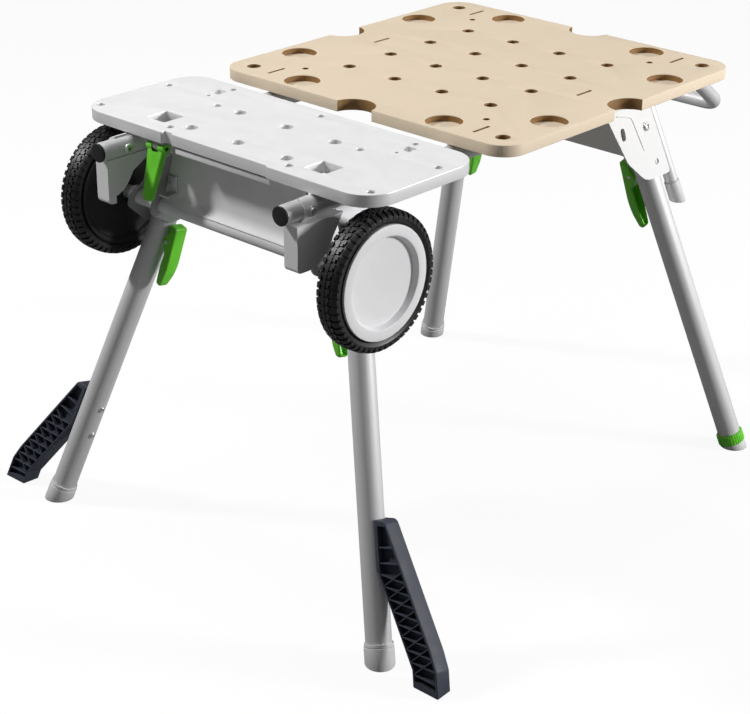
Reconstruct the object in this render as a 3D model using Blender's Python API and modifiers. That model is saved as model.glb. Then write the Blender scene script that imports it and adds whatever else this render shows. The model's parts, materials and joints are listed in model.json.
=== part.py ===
"""Folding wheeled bench stand for a bench-top saw, in metres, +Z up.

A perforated wooden board and a cast aluminium table lie on two long rails. Four splayed
legs fold flat under the tops, and a pair of wheels at the front carries the folded stand.
Pieces are laid out from the middle of the board: +X is right, +Y is towards the loop
handle at the back. The origin lies on the floor under the middle of the whole stand.
"""

import math

import bmesh
import bpy
from mathutils import Matrix
from mathutils import Vector

# Overall height and the clearances that recur
TOP_HEIGHT = 0.663
SEAT_GAP = 0.0003
RUNNING_GAP = 0.0003
WELD_DISTANCE = 0.00001
FILLET_SHARE = 0.49
SMOOTH_ANGLE = math.radians(35)

# Tops: both are the same thickness so that their faces are flush
TOP_THICKNESS = 0.018
BOARD_WIDTH = 0.582
BOARD_DEPTH = 0.572
BOARD_CORNER = 0.040
GRID_PITCH = 0.096
GRID_COUNT = 4
GRID_HOLE = 0.020
CORNER_HOLE = 0.022
CORNER_HOLE_INSET = 0.0385
NOTCH_RADIUS = 0.035
NOTCH_CENTRE_OUT = 0.004
POCKET_DIAMETER = 0.056
POCKET_DEPTH = 0.010
POCKET_INSET = 0.0365
SLIT_LENGTH = 0.036
SLIT_WIDTH = 0.0056
SLIT_INSET = 0.083
SLIT_END_INSET = 0.044
BOARD_SCREW_INSET = 0.084
TABLE_GAP = 0.052
TABLE_WIDTH = 0.584
TABLE_DEPTH = 0.229
TABLE_CORNER = 0.046
TABLE_GRID_INSET = 0.044
SOCKET_SIZE = 0.039
SOCKET_X = 0.160
SOCKET_INSET = 0.052
TABLE_SMALL_HOLE = 0.010
TABLE_EDGE_INSET = 0.019
TABLE_FRONT_HOLE_X = 0.120
TABLE_ROW_HOLE_X = 0.144
TABLE_SIDE_HOLE_INSET = 0.0205
CATCH_POCKET = 0.018
CATCH_POCKET_INSET = 0.042
CATCH_POCKET_X = 0.192
CATCH_POCKET_DEPTH = 0.010
FRONT_NOTCH_X = -0.103
FRONT_NOTCH_WIDTH = 0.016
FRONT_NOTCH_DEPTH = 0.008
FRONT_RELIEF_END = 0.100
FRONT_RELIEF_DEPTH = 0.004

# Rails with their seats for the tops, and the loop handle plugged into them
RAIL_X = 0.184
RAIL_DIAMETER = 0.028
RAIL_WALL = 0.0017
RAIL_FRONT_OVERHANG = 0.054
RAIL_REAR_OVERHANG = 0.006
RAIL_CAP_FLANGE = 0.003
RAIL_CAP_PLUG = 0.012
PAD_THICKNESS = 0.003
PAD_WIDTH = 0.016
PAD_LENGTH = 0.030
HANDLE_BEND_BEHIND = 0.022
HANDLE_REACH = 0.129
HANDLE_DROP = 0.083
HANDLE_CORNER = 0.030
HANDLE_PLUG = 0.060
SCREW_HOLE = 0.0061
SCREW_HEAD_HOLE = 0.0106
SCREW_SINK = 0.010

# Front supports under the rails
GUSSET_WIDTH = 0.025
GUSSET_SETBACK = 0.0095
GUSSET_OUTSET = 0.006
GUSSET_DROP = 0.067
GUSSET_REACH = 0.085
GUSSET_NOSE = 0.014
GUSSET_NOSE_HEIGHT = 0.023
GUSSET_CHEEK = 0.005
GUSSET_CHEEK_REACH = 0.088
STRAP_THICKNESS = 0.0024
STRAP_WIDTH = 0.024
STRAP_SETBACK = 0.041
STRAP_START = math.radians(-92)
STRAP_END = math.radians(88)
STRAP_BOLT = 0.006
STRAP_BOLT_HEAD = 0.015
STRAP_BOLT_HEAD_HEIGHT = 0.004

# Wheels, axle and the beam above it
AXLE_DROP = 0.133
AXLE_SETBACK = 0.0444
AXLE_DIAMETER = 0.012
AXLE_TUBE_DIAMETER = 0.026
AXLE_TUBE_LENGTH = 0.456
AXLE_COLLAR_LENGTH = 0.016
AXLE_COLLAR_DIAMETER = 0.020
WHEEL_DIAMETER = 0.2008
WHEEL_WIDTH = 0.038
RIM_DIAMETER = 0.1654
RIM_INSET = 0.002
COVER_RING = 0.017
COVER_RECESS = 0.009
COVER_WALL = 0.002
COVER_LIP = 0.0045
HUB_DIAMETER = 0.046
HUB_LENGTH = 0.016
WHEEL_WEB_LOW = 0.0064
WHEEL_WEB = 0.0056
RETAINER_THICKNESS = 0.003
RETAINER_DIAMETER = 0.024
BEAM_WALL = 0.004
FLANGE_THICKNESS = 0.003
FLANGE_LEFT = -0.090
FLANGE_RIGHT = 0.100
FLANGE_SETBACK = 0.007
LIP_HEIGHT = 0.008

# Legs: each leans from its pivot to its foot
LEG_DIAMETER = 0.038
LEG_WALL = 0.002
LEG_ABOVE_PIVOT = 0.012
FRONT_PIVOT_X = 0.1917
FRONT_PIVOT_BEHIND_AXLE = 0.0376
FRONT_PIVOT_DROP = 0.150
FRONT_FOOT_X = 0.3525
FRONT_FOOT_Y = -0.606
REAR_PIVOT_X = 0.1748
REAR_PIVOT_Y = 0.180
REAR_PIVOT_DROP = 0.105
REAR_FOOT_X = 0.3433
REAR_FOOT_Y = 0.2966
PIVOT_BOLT = 0.008
PIVOT_HEAD = 0.015
PIVOT_HEAD_HEIGHT = 0.004
FOOT_DIAMETER = 0.0435
FOOT_SLEEVE = 0.030
FOOT_SOLE = 0.012
FOOT_BAND = 0.0009
ADJUSTER_PAD_HEIGHT = 0.0095
ADJUSTER_PAD_DIAMETER = 0.042
ADJUSTER_RING_DIAMETER = 0.045
ADJUSTER_RING_HEIGHT = 0.018
ADJUSTER_STUD = 0.012
ADJUSTER_STUD_LENGTH = 0.058
ADJUSTER_SOCKET_LENGTH = 0.030

# Brackets that carry the legs
BRACKET_PLATE = 0.003
BRACKET_INNER_GAP = 0.0015
BRACKET_OUTER_GAP = 0.005
BRACKET_WEB = 0.003
FRONT_WEB_STANDOFF = 0.005
FRONT_WEB_BELOW = 0.016
FRONT_WEB_ABOVE = 0.002
BRACKET_EDGE = 0.024
LOCK_MARGIN = 0.0115
PIVOT_MARGIN = 0.016
BRACKET_REAR_EDGE = 0.020
REAR_PLATE_TOP_REACH = 0.101
REAR_PLATE_FRONT = 0.062
REAR_PLATE_FRONT_DROP = 0.046
REAR_PLATE_TOE = 0.024
REAR_PLATE_DROP = 0.084
REAR_PLATE_ROUND = 0.034
REAR_WEB_STANDOFF = 0.0045
REAR_WEB_BELOW = 0.052
REAR_WEB_ABOVE = 0.044
FOLD_SLOT_LENGTH = 0.021
FOLD_SLOT_WIDTH = 0.011
REAR_BEAM_DROP = 0.168
REAR_BEAM_STANDOFF = 0.0035
REAR_BEAM_WALL = 0.003
REAR_BEAM_LIP = 0.012
STUB_DIAMETER = 0.0215
STUB_WALL = 0.002
STUB_CAP_DIAMETER = 0.025
STUB_CAP_HEIGHT = 0.036
STUB_CAP_SOLE = 0.010

# Lock levers and the plungers that they pull
FRONT_LOCK = 0.030
REAR_LOCK = 0.061
FRONT_LEVER_TIP = 0.121
REAR_LEVER_TIP = 0.175
PLUNGER_DIAMETER = 0.008
PLUNGER_COLLAR = 0.014
PLUNGER_COLLAR_LENGTH = 0.004
PLUNGER_NOSE_GAP = 0.0006
LEVER_ARM = 0.020
LEVER_PIVOT_OUT = 0.010
LEVER_WIDTH = 0.025
LEVER_HOOD_WALL = 0.003
LEVER_FORK_THICKNESS = 0.0085
LEVER_FORK_ABOVE = 0.008
LEVER_GRIP_THICKNESS = 0.017
LEVER_GRIP_STANDOFF = 0.013
LEVER_GRIP_BACK = 0.0165
LEVER_GRIP_FRONT = 0.0195
LEVER_BOSS = 0.015
LEVER_PIN = 0.006
LUG_THICKNESS = 0.0086
LUG_CLEARANCE = 0.0018
LUG_DIAMETER = 0.018

# Stabilisers on the front legs, measured up from the foot and out from the leg's axis
STAB_HEIGHT = 0.205
STAB_TOP_OUT = 0.036
STAB_FOOT_IN = 0.0705
STAB_FOOT_OUT = 0.114
STAB_KNEE = 0.027
STAB_KNEE_OUT = 0.1064
STAB_LEAVE = 0.130
STAB_BEND = 0.020
STAB_TOP_ROUND = 0.010
STAB_KNEE_ROUND = 0.060
STAB_DEPTH = 0.028
STAB_LIFT = 0.0012
STAB_FRAME = 0.004
STAB_RIB = 0.0028
STAB_CELLS = 7
STAB_BACK_WALL = 0.009

# Front release lever under the table's edge
LATCH_X = -0.131
LATCH_SETBACK = 0.011
LATCH_PIVOT_DROP = 0.029
LATCH_LENGTH = 0.080
LATCH_TOP_WIDTH = 0.037
LATCH_TIP_WIDTH = 0.019
LATCH_THICKNESS = 0.010
LATCH_BOSS = 0.015
LATCH_TILT = math.radians(17)
LATCH_PIN = 0.006
LATCH_TONGUE = 0.012
LATCH_BASE = 0.003
CATCH_WIDTH = 0.018
CATCH_HEIGHT = 0.028
CATCH_REACH = 0.022
CATCH_WALL = 0.003
CATCH_X = -0.136
CATCH_DROP = 0.110

# Facets round a circle
HOLE_SIDES = 12
HOLE_PHASE_X = 7.3
HOLE_PHASE_Y = 11.9
FASTENER_SIDES = 8
TUBE_STEPS = 18
WHEEL_STEPS = 28
CORNER_STEPS = 5
BEND_STEPS = 3
STRAP_STEPS = 12

# Places worked out from the sizes above
BOARD_FRONT = -BOARD_DEPTH / 2
BOARD_REAR = BOARD_DEPTH / 2
TABLE_REAR = BOARD_FRONT - TABLE_GAP
TABLE_FRONT = TABLE_REAR - TABLE_DEPTH
TOP_UNDERSIDE = TOP_HEIGHT - TOP_THICKNESS
RAIL_RADIUS = RAIL_DIAMETER / 2
RAIL_BORE = RAIL_RADIUS - RAIL_WALL
RAIL_Z = TOP_UNDERSIDE - PAD_THICKNESS - RAIL_RADIUS
RAIL_UNDERSIDE = RAIL_Z - RAIL_RADIUS
RAIL_FRONT = TABLE_FRONT - RAIL_FRONT_OVERHANG
RAIL_REAR = BOARD_REAR + RAIL_REAR_OVERHANG
HANDLE_RADIUS = RAIL_BORE - SEAT_GAP
HANDLE_REAR = BOARD_REAR + HANDLE_REACH
AXLE_Y = TABLE_FRONT + AXLE_SETBACK
AXLE_Z = TOP_HEIGHT - AXLE_DROP
AXLE_RADIUS = AXLE_DIAMETER / 2
AXLE_TUBE_RADIUS = AXLE_TUBE_DIAMETER / 2
WHEEL_INNER_X = AXLE_TUBE_LENGTH / 2 + AXLE_COLLAR_LENGTH
REST_Z = AXLE_Z - WHEEL_DIAMETER / 2
LEG_RADIUS = LEG_DIAMETER / 2
LEG_BORE = LEG_RADIUS - LEG_WALL
PLATE_INNER = LEG_RADIUS + BRACKET_INNER_GAP
PLATE_OUTER = LEG_RADIUS + BRACKET_OUTER_GAP
LEVER_PIVOT = LEG_RADIUS + LEVER_PIVOT_OUT
FRONT_PIVOT_Y = AXLE_Y + FRONT_PIVOT_BEHIND_AXLE
FRONT_PIVOT_Z = TOP_HEIGHT - FRONT_PIVOT_DROP
FRONT_LEAN = (FRONT_PIVOT_Y - FRONT_FOOT_Y) / FRONT_PIVOT_Z
RAIL_CAP_FRONT = RAIL_FRONT - SEAT_GAP - RAIL_CAP_FLANGE
FRONTMOST = FRONT_FOOT_Y - FOOT_DIAMETER / 2 * math.hypot(1.0, FRONT_LEAN)
REARMOST = HANDLE_REAR + HANDLE_RADIUS
CENTRE_Y = (FRONTMOST + REARMOST) / 2
SIDES = ((-1, "left"), (1, "right"))
HALF_TURN = math.pi
QUARTER_TURN = math.pi / 2


def clear_scene():
    for obj in list(bpy.data.objects):
        bpy.data.objects.remove(obj, do_unlink=True)


def new_collection(name):
    group = bpy.data.collections.new(name)
    bpy.context.scene.collection.children.link(group)
    return group


clear_scene()
PARTS = new_collection("table_saw_stand")
CUTTERS = new_collection("cutters")


def paint(name, colour, roughness, metallic=0.0):
    """One Principled material."""
    made = bpy.data.materials.new(name)
    made.use_nodes = True
    shader = made.node_tree.nodes["Principled BSDF"]
    shader.inputs["Base Color"].default_value = (*colour, 1.0)
    shader.inputs["Roughness"].default_value = roughness
    shader.inputs["Metallic"].default_value = metallic
    made.diffuse_color = (*colour, 1.0)
    return made


PLYWOOD = paint("plywood", (0.72, 0.58, 0.42), 0.6)
CAST_ALUMINIUM = paint("cast_aluminium", (0.80, 0.80, 0.80), 0.45, 0.6)
TUBE_ALUMINIUM = paint("tube_aluminium", (0.78, 0.78, 0.78), 0.4, 0.6)
GREY_STEEL = paint("grey_steel", (0.36, 0.36, 0.37), 0.5, 0.3)
BRIGHT_STEEL = paint("bright_steel", (0.55, 0.55, 0.56), 0.35, 0.9)
WHITE_PLATE = paint("white_plate", (0.82, 0.82, 0.82), 0.5, 0.2)
BLACK_PLASTIC = paint("black_plastic", (0.03, 0.03, 0.035), 0.5)
BLACK_RUBBER = paint("black_rubber", (0.02, 0.02, 0.02), 0.8)
SILVER_PLASTIC = paint("silver_plastic", (0.74, 0.74, 0.75), 0.4, 0.3)
GREEN_PLASTIC = paint("green_plastic", (0.22, 0.52, 0.06), 0.45)
GREY_PLASTIC = paint("grey_plastic", (0.66, 0.66, 0.66), 0.6)


def move(x=0.0, y=0.0, z=0.0):
    return Matrix.Translation((x, y, z))


def axes(x_axis, y_axis, z_axis, origin=(0.0, 0.0, 0.0)):
    """A placing matrix whose columns are the three given directions."""
    turn = Matrix((x_axis, y_axis, z_axis)).transposed()
    return Matrix.Translation(origin) @ turn.to_4x4()


X_AXIS = Vector((1.0, 0.0, 0.0))
Y_AXIS = Vector((0.0, 1.0, 0.0))
Z_AXIS = Vector((0.0, 0.0, 1.0))

# Each turns a shape drawn on the XY plane, or along Z, to face another way
FACING_X = axes(Y_AXIS, Z_AXIS, X_AXIS)
FACING_FRONT = axes(X_AXIS, Z_AXIS, -Y_AXIS)
ALONG_Y = axes(Z_AXIS, X_AXIS, Y_AXIS)


def along_x(side):
    """Turns a shape along Z so that its top points out to the given side."""
    return Matrix.Rotation(side * QUARTER_TURN, 4, "Y")


def settle(mesh):
    """Welds coincident points and points every face outwards."""
    work = bmesh.new()
    work.from_mesh(mesh)
    bmesh.ops.remove_doubles(work, verts=work.verts, dist=WELD_DISTANCE)
    bmesh.ops.recalc_face_normals(work, faces=work.faces)
    work.to_mesh(mesh)
    work.free()
    return mesh


def evaluated(carrier):
    """The mesh that a curve or a modified object makes; the carrier is removed."""
    PARTS.objects.link(carrier)
    depsgraph = bpy.context.evaluated_depsgraph_get()
    mesh = bpy.data.meshes.new_from_object(carrier.evaluated_get(depsgraph))
    bpy.data.objects.remove(carrier, do_unlink=True)
    return settle(mesh)


def slab(loops, thickness):
    """A flat outline with holes, extruded evenly either side of its plane."""
    curve = bpy.data.curves.new("outline", "CURVE")
    curve.dimensions = "2D"
    curve.fill_mode = "BOTH"
    curve.extrude = thickness / 2
    for loop in loops:
        spline = curve.splines.new("POLY")
        spline.points.add(len(loop) - 1)
        for point, (x, y) in zip(spline.points, loop):
            point.co = (x, y, 0.0, 1.0)
        spline.use_cyclic_u = True
    return evaluated(bpy.data.objects.new("outline", curve))


def turned(profile, steps, closed=True):
    """A profile of (radius, height) points, run down its outer side, turned about Z."""
    mesh = bpy.data.meshes.new("profile")
    edges = [(i, i + 1) for i in range(len(profile) - 1)]
    if closed:
        edges.append((len(profile) - 1, 0))
    mesh.from_pydata([(radius, 0.0, height) for radius, height in profile], edges, [])
    carrier = bpy.data.objects.new("profile", mesh)
    screw = carrier.modifiers.new("turn", "SCREW")
    screw.axis = "Z"
    screw.steps = steps
    screw.render_steps = steps
    screw.use_merge_vertices = True
    screw.merge_threshold = 0.0001
    return evaluated(carrier)


def ring(outer, inner, low, high, steps=TUBE_STEPS):
    return turned([(outer, high), (outer, low), (inner, low), (inner, high)], steps)


def bolt_mesh(diameter, head_diameter, head_height, outside, inside):
    """A bolt along Z with a domed head above one height and a nut below another."""
    shank = diameter / 2
    head = head_diameter / 2
    crown = outside + head_height
    foot = inside - head_height
    profile = [(0.0, crown), ((shank + head) / 2, crown), (head, outside + head_height / 2), (head, outside),
               (shank, outside), (shank, inside), (head, inside), (head, foot), (0.0, foot)]
    return turned(profile, FASTENER_SIDES, closed=False)


def bent_tube(path, radius):
    """A round bar along a list of points."""
    curve = bpy.data.curves.new("bar", "CURVE")
    curve.dimensions = "3D"
    curve.fill_mode = "FULL"
    curve.bevel_depth = radius
    curve.bevel_resolution = 4
    curve.use_fill_caps = True
    spline = curve.splines.new("POLY")
    spline.points.add(len(path) - 1)
    for point, place in zip(spline.points, path):
        point.co = (*place, 1.0)
    return evaluated(bpy.data.objects.new("bar", curve))


def box(size_x, size_y, size_z):
    mesh = bpy.data.meshes.new("box")
    work = bmesh.new()
    bmesh.ops.create_cube(work, size=1.0, matrix=Matrix.Diagonal((size_x, size_y, size_z, 1.0)))
    work.to_mesh(mesh)
    work.free()
    return mesh


def span_box(low, high):
    """A box between two corners, each an (x, y, z)."""
    mesh = box(*(b - a for a, b in zip(low, high)))
    mesh.transform(move(*((a + b) / 2 for a, b in zip(low, high))))
    return mesh


def rod(diameter, low, high, sides=FASTENER_SIDES):
    """A round bar along Z between two heights, with a flat facing +X."""
    mesh = bpy.data.meshes.new("rod")
    work = bmesh.new()
    half_facet = Matrix.Rotation(math.pi / sides, 4, "Z")
    bmesh.ops.create_cone(
        work, cap_ends=True, segments=sides, radius1=diameter / 2, radius2=diameter / 2,
        depth=high - low, matrix=move(z=(low + high) / 2) @ half_facet)
    work.to_mesh(mesh)
    work.free()
    return mesh


def drill(diameter, low, high, sides=FASTENER_SIDES):
    """A cutter for a round hole, whose flats lie on the given diameter."""
    return rod(diameter / math.cos(math.pi / sides), low, high, sides)


def joined(pieces):
    """One mesh of several separate solids, each given with its placing matrix."""
    whole = bmesh.new()
    for mesh, matrix in pieces:
        copy = mesh.copy()
        copy.transform(matrix)
        whole.from_mesh(copy)
        bpy.data.meshes.remove(copy)
    mesh = bpy.data.meshes.new("group")
    whole.to_mesh(mesh)
    whole.free()
    return mesh


def smooth(mesh):
    mesh.shade_smooth()
    mesh.set_sharp_from_angle(angle=SMOOTH_ANGLE)


def place(obj, group, parent, matrix):
    group.objects.link(obj)
    obj.parent = parent
    obj.matrix_basis = matrix
    return obj


def piece(name, mesh, finish, matrix=Matrix(), parent=None):
    """A named sub-part, standing on the given empty."""
    smooth(mesh)
    mesh.name = name
    mesh.materials.clear()
    mesh.materials.append(finish)
    obj = bpy.data.objects.new(name, mesh)
    return place(obj, PARTS, parent or DATUM, matrix)


def shape_with(target, mesh, operation, matrix=Matrix(), parent=None):
    """Cuts a mesh from a piece, or joins it on, with a Boolean."""
    tool = bpy.data.objects.new(target.name + "_" + operation.lower(), mesh)
    place(tool, CUTTERS, parent or target.parent, matrix)
    tool.hide_render = True
    tool.display_type = "WIRE"
    boolean = target.modifiers.new(operation.lower(), "BOOLEAN")
    boolean.operation = operation
    boolean.object = tool


def cut(target, mesh, matrix=Matrix(), parent=None):
    shape_with(target, mesh, "DIFFERENCE", matrix, parent)


def join(target, mesh, matrix=Matrix(), parent=None):
    shape_with(target, mesh, "UNION", matrix, parent)


def empty(name, matrix, parent=None):
    obj = bpy.data.objects.new(name, None)
    obj.empty_display_size = 0.05
    return place(obj, PARTS, parent, matrix)


DATUM = empty("stand", move(y=-CENTRE_Y))


def circle(x, y, diameter, sides=HOLE_SIDES):
    """A round hole's outline; each starts at its own angle, so that rows of points don't line up."""
    radius = diameter / 2 / math.cos(math.pi / sides)
    start = math.fmod(HOLE_PHASE_X * x + HOLE_PHASE_Y * y, 1.0)
    turns = [start + 2 * math.pi * i / sides for i in range(sides)]
    return [(x + radius * math.cos(a), y + radius * math.sin(a)) for a in turns]


def upright_slot(x, y, length, width):
    """A round-ended slot, long in Y."""
    radius = width / 2
    straight = length / 2 - radius
    turns = [HALF_TURN * i / CORNER_STEPS for i in range(CORNER_STEPS + 1)]
    top = [(x + radius * math.cos(a), y + straight + radius * math.sin(a)) for a in turns]
    return top + [(2 * x - px, 2 * y - py) for px, py in top]


def rounded(points, radii, steps=BEND_STEPS):
    """A closed outline whose corners are replaced by arcs of the given radii."""
    corners = [Vector(p) for p in points]
    outline = []
    for i, corner in enumerate(corners):
        outline += fillet(corners[i - 1], corner, corners[(i + 1) % len(corners)], radii[i], steps)
    return [tuple(p) for p in outline]


def fillet(before, corner, after, radius, steps):
    """Points along an arc that rounds one corner, in two or three dimensions."""
    if radius <= 0.0:
        return [corner]
    back = (before - corner).normalized()
    ahead = (after - corner).normalized()
    half = back.angle(ahead) / 2
    room = FILLET_SHARE * min((before - corner).length, (after - corner).length)
    reach = min(radius / math.tan(half), room)
    bow = reach * math.tan(half)
    centre = corner + (back + ahead).normalized() * bow / math.sin(half)
    first = (corner + back * reach - centre).normalized()
    last = (corner + ahead * reach - centre).normalized()
    return [centre + first.slerp(last, i / steps) * bow for i in range(steps + 1)]


def rounded_path(points, radius, steps=CORNER_STEPS):
    """An open path whose inner corners are arcs."""
    places = [Vector(p) for p in points]
    path = [places[0]]
    for i in range(1, len(places) - 1):
        path += fillet(places[i - 1], places[i], places[i + 1], radius, steps)
    return path + [places[-1]]


def four_ways(x, y):
    return [(x, y), (-x, y), (-x, -y), (x, -y)]


# Wooden board

def board_outline():
    """A round-cornered board with a scoop in the middle of each edge."""
    outline = []
    half_sizes = (BOARD_WIDTH / 2, BOARD_DEPTH / 2)
    start = math.asin(NOTCH_CENTRE_OUT / NOTCH_RADIUS)
    sweep = HALF_TURN - 2 * start
    steps = 2 * CORNER_STEPS
    for quarter in range(4):
        heading = quarter * QUARTER_TURN
        along = Vector((math.cos(heading), math.sin(heading)))
        inward = Vector((-along.y, along.x))
        half_across = half_sizes[(quarter + 1) % 2]
        half_along = half_sizes[quarter % 2]
        for i in range(steps + 1):
            angle = HALF_TURN - start - sweep * i / steps
            shift = along * NOTCH_RADIUS * math.cos(angle)
            rise = NOTCH_RADIUS * math.sin(angle) - NOTCH_CENTRE_OUT - half_across
            outline.append(tuple(shift + inward * rise))
        centre = along * (half_along - BOARD_CORNER) + inward * (BOARD_CORNER - half_across)
        for i in range(CORNER_STEPS + 1):
            angle = heading - QUARTER_TURN + QUARTER_TURN * i / CORNER_STEPS
            outline.append(tuple(centre + BOARD_CORNER * Vector((math.cos(angle), math.sin(angle)))))
    return outline


def grid_places():
    first = -GRID_PITCH * (GRID_COUNT - 1) / 2
    return [first + GRID_PITCH * i for i in range(GRID_COUNT)]


def board_screw_places():
    return four_ways(RAIL_X, BOARD_DEPTH / 2 - BOARD_SCREW_INSET)


def pocket_places():
    outer = grid_places()[-1]
    along_ends = four_ways(outer, BOARD_DEPTH / 2 - POCKET_INSET)
    along_sides = four_ways(BOARD_WIDTH / 2 - POCKET_INSET, outer)
    return along_ends + along_sides


def make_board():
    loops = [board_outline()]
    loops += [circle(x, y, GRID_HOLE) for x in grid_places() for y in grid_places()]
    corner_x = BOARD_WIDTH / 2 - CORNER_HOLE_INSET
    corner_y = BOARD_DEPTH / 2 - CORNER_HOLE_INSET
    loops += [circle(x, y, CORNER_HOLE) for x, y in four_ways(corner_x, corner_y)]
    loops += [circle(x, y, SCREW_HOLE, FASTENER_SIDES) for x, y in board_screw_places()]
    level = TOP_HEIGHT - TOP_THICKNESS / 2
    board = piece("wood_board", slab(loops, TOP_THICKNESS), PLYWOOD, move(z=level))
    pocket = rod(POCKET_DIAMETER, -POCKET_DEPTH, POCKET_DEPTH, TUBE_STEPS)
    head = rod(SCREW_HEAD_HOLE, -SCREW_SINK, SCREW_SINK, HOLE_SIDES)
    slit = box(SLIT_WIDTH, SLIT_LENGTH, 3 * TOP_THICKNESS)
    slit_x = BOARD_WIDTH / 2 - SLIT_INSET
    slit_y = BOARD_DEPTH / 2 - SLIT_END_INSET
    slit_places = four_ways(slit_x, slit_y) + [(slit_x, 0.0), (-slit_x, 0.0)]
    sunk = [(pocket, move(x, y)) for x, y in pocket_places()]
    sunk += [(head, move(x, y)) for x, y in board_screw_places()]
    sunk += [(slit, move(x, y)) for x, y in slit_places]
    cut(board, joined(sunk), move(z=TOP_HEIGHT))


# Aluminium table

def table_outline():
    """The table's outline, with a notch and a shallow relief along its front edge."""
    half = TABLE_WIDTH / 2
    notch_left = FRONT_NOTCH_X - FRONT_NOTCH_WIDTH / 2
    notch_right = FRONT_NOTCH_X + FRONT_NOTCH_WIDTH / 2
    notch_y = TABLE_FRONT + FRONT_NOTCH_DEPTH
    relief_y = TABLE_FRONT + FRONT_RELIEF_DEPTH
    points = [(-half, TABLE_FRONT), (notch_left, TABLE_FRONT), (notch_left, notch_y),
              (notch_right, notch_y), (notch_right, relief_y), (FRONT_RELIEF_END, relief_y),
              (FRONT_RELIEF_END, TABLE_FRONT), (half, TABLE_FRONT), (half, TABLE_REAR),
              (-half, TABLE_REAR)]
    radii = [TABLE_CORNER, 0, 0, 0, 0, 0, 0, TABLE_CORNER, TABLE_CORNER, TABLE_CORNER]
    return rounded(points, radii, CORNER_STEPS)


def table_screw_places():
    level = TABLE_REAR - TABLE_EDGE_INSET
    return [(RAIL_X, level), (-RAIL_X, level)]


def table_small_holes():
    """Spare fixing holes in the table, in mirrored pairs about its middle."""
    rear = TABLE_REAR - TABLE_EDGE_INSET
    front = TABLE_FRONT + TABLE_GRID_INSET - TABLE_EDGE_INSET
    row = TABLE_FRONT + TABLE_GRID_INSET + GRID_PITCH
    side = TABLE_WIDTH / 2 - TABLE_SIDE_HOLE_INSET
    places = [(0.0, rear)]
    pairs = [(side, row + TABLE_EDGE_INSET), (side, front), (TABLE_ROW_HOLE_X, row),
             (TABLE_FRONT_HOLE_X, front)]
    for x, y in pairs:
        places += [(x, y), (-x, y)]
    return places


def make_table():
    row = TABLE_FRONT + TABLE_GRID_INSET
    loops = [table_outline()]
    for y in (row, row + GRID_PITCH):
        loops += [circle(x, y, GRID_HOLE) for x in (-GRID_PITCH, 0.0, GRID_PITCH)]
    loops += [circle(x, y, TABLE_SMALL_HOLE, FASTENER_SIDES) for x, y in table_small_holes()]
    loops += [circle(x, y, SCREW_HOLE, FASTENER_SIDES) for x, y in table_screw_places()]
    level = TOP_HEIGHT - TOP_THICKNESS / 2
    table = piece("alu_table", slab(loops, TOP_THICKNESS), CAST_ALUMINIUM, move(z=level))
    head = rod(SCREW_HEAD_HOLE, -SCREW_SINK, SCREW_SINK, HOLE_SIDES)
    sunk = [(head, move(x, y)) for x, y in table_screw_places()]
    pocket = box(CATCH_POCKET, CATCH_POCKET, 2 * CATCH_POCKET_DEPTH)
    pocket_y = TABLE_REAR - CATCH_POCKET_INSET
    socket = box(SOCKET_SIZE, SOCKET_SIZE, 3 * TOP_THICKNESS)
    socket_y = TABLE_FRONT + SOCKET_INSET
    for side in (-1, 1):
        sunk.append((pocket, move(side * CATCH_POCKET_X, pocket_y)))
        sunk.append((socket, move(side * SOCKET_X, socket_y)))
    cut(table, joined(sunk), move(z=TOP_HEIGHT))


# Rails and handle

def strap_bolt_y():
    return RAIL_FRONT + STRAP_SETBACK


def pad_mesh(x, y):
    """A flat seat on top of a rail, under one of the screws that hold the tops."""
    half = PAD_WIDTH / 2
    low = RAIL_Z + math.sqrt(RAIL_RADIUS ** 2 - half ** 2) - RAIL_WALL
    front = y - PAD_LENGTH / 2
    return span_box((x - half, front, low), (x + half, front + PAD_LENGTH, TOP_UNDERSIDE - SEAT_GAP))


def make_rail(side, name):
    """A tube with welded seats for the tops and a cross hole for its strap bolt."""
    where = move(side * RAIL_X, z=RAIL_Z) @ ALONG_Y
    bar = rod(RAIL_DIAMETER, RAIL_FRONT, RAIL_REAR, TUBE_STEPS)
    rail = piece(name + "_rail", bar, TUBE_ALUMINIUM, where)
    seats = [(x, y) for x, y in board_screw_places() + table_screw_places() if x * side > 0]
    join(rail, joined([(pad_mesh(x, y), Matrix()) for x, y in seats]))
    bore = rod(2 * RAIL_BORE, RAIL_FRONT - RAIL_DIAMETER, RAIL_REAR + RAIL_DIAMETER, TUBE_STEPS)
    cut(rail, bore, where)
    hole = drill(STRAP_BOLT + 2 * SEAT_GAP, -RAIL_DIAMETER, RAIL_DIAMETER)
    cut(rail, hole, move(side * RAIL_X, strap_bolt_y(), RAIL_Z) @ along_x(side))


def make_rail_cap(side, name):
    flange_end = RAIL_FRONT - SEAT_GAP
    edge = RAIL_CAP_FLANGE / 3
    plug = RAIL_BORE - SEAT_GAP
    plug_end = flange_end + RAIL_CAP_PLUG
    profile = [(0.0, plug_end), (plug, plug_end), (plug, flange_end), (RAIL_RADIUS, flange_end),
               (RAIL_RADIUS, RAIL_CAP_FRONT + edge), (RAIL_RADIUS - edge, RAIL_CAP_FRONT),
               (0.0, RAIL_CAP_FRONT)]
    cap = turned(profile, TUBE_STEPS, closed=False)
    piece(name + "_rail_cap", cap, BLACK_PLASTIC, move(side * RAIL_X, z=RAIL_Z) @ ALONG_Y)


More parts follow.
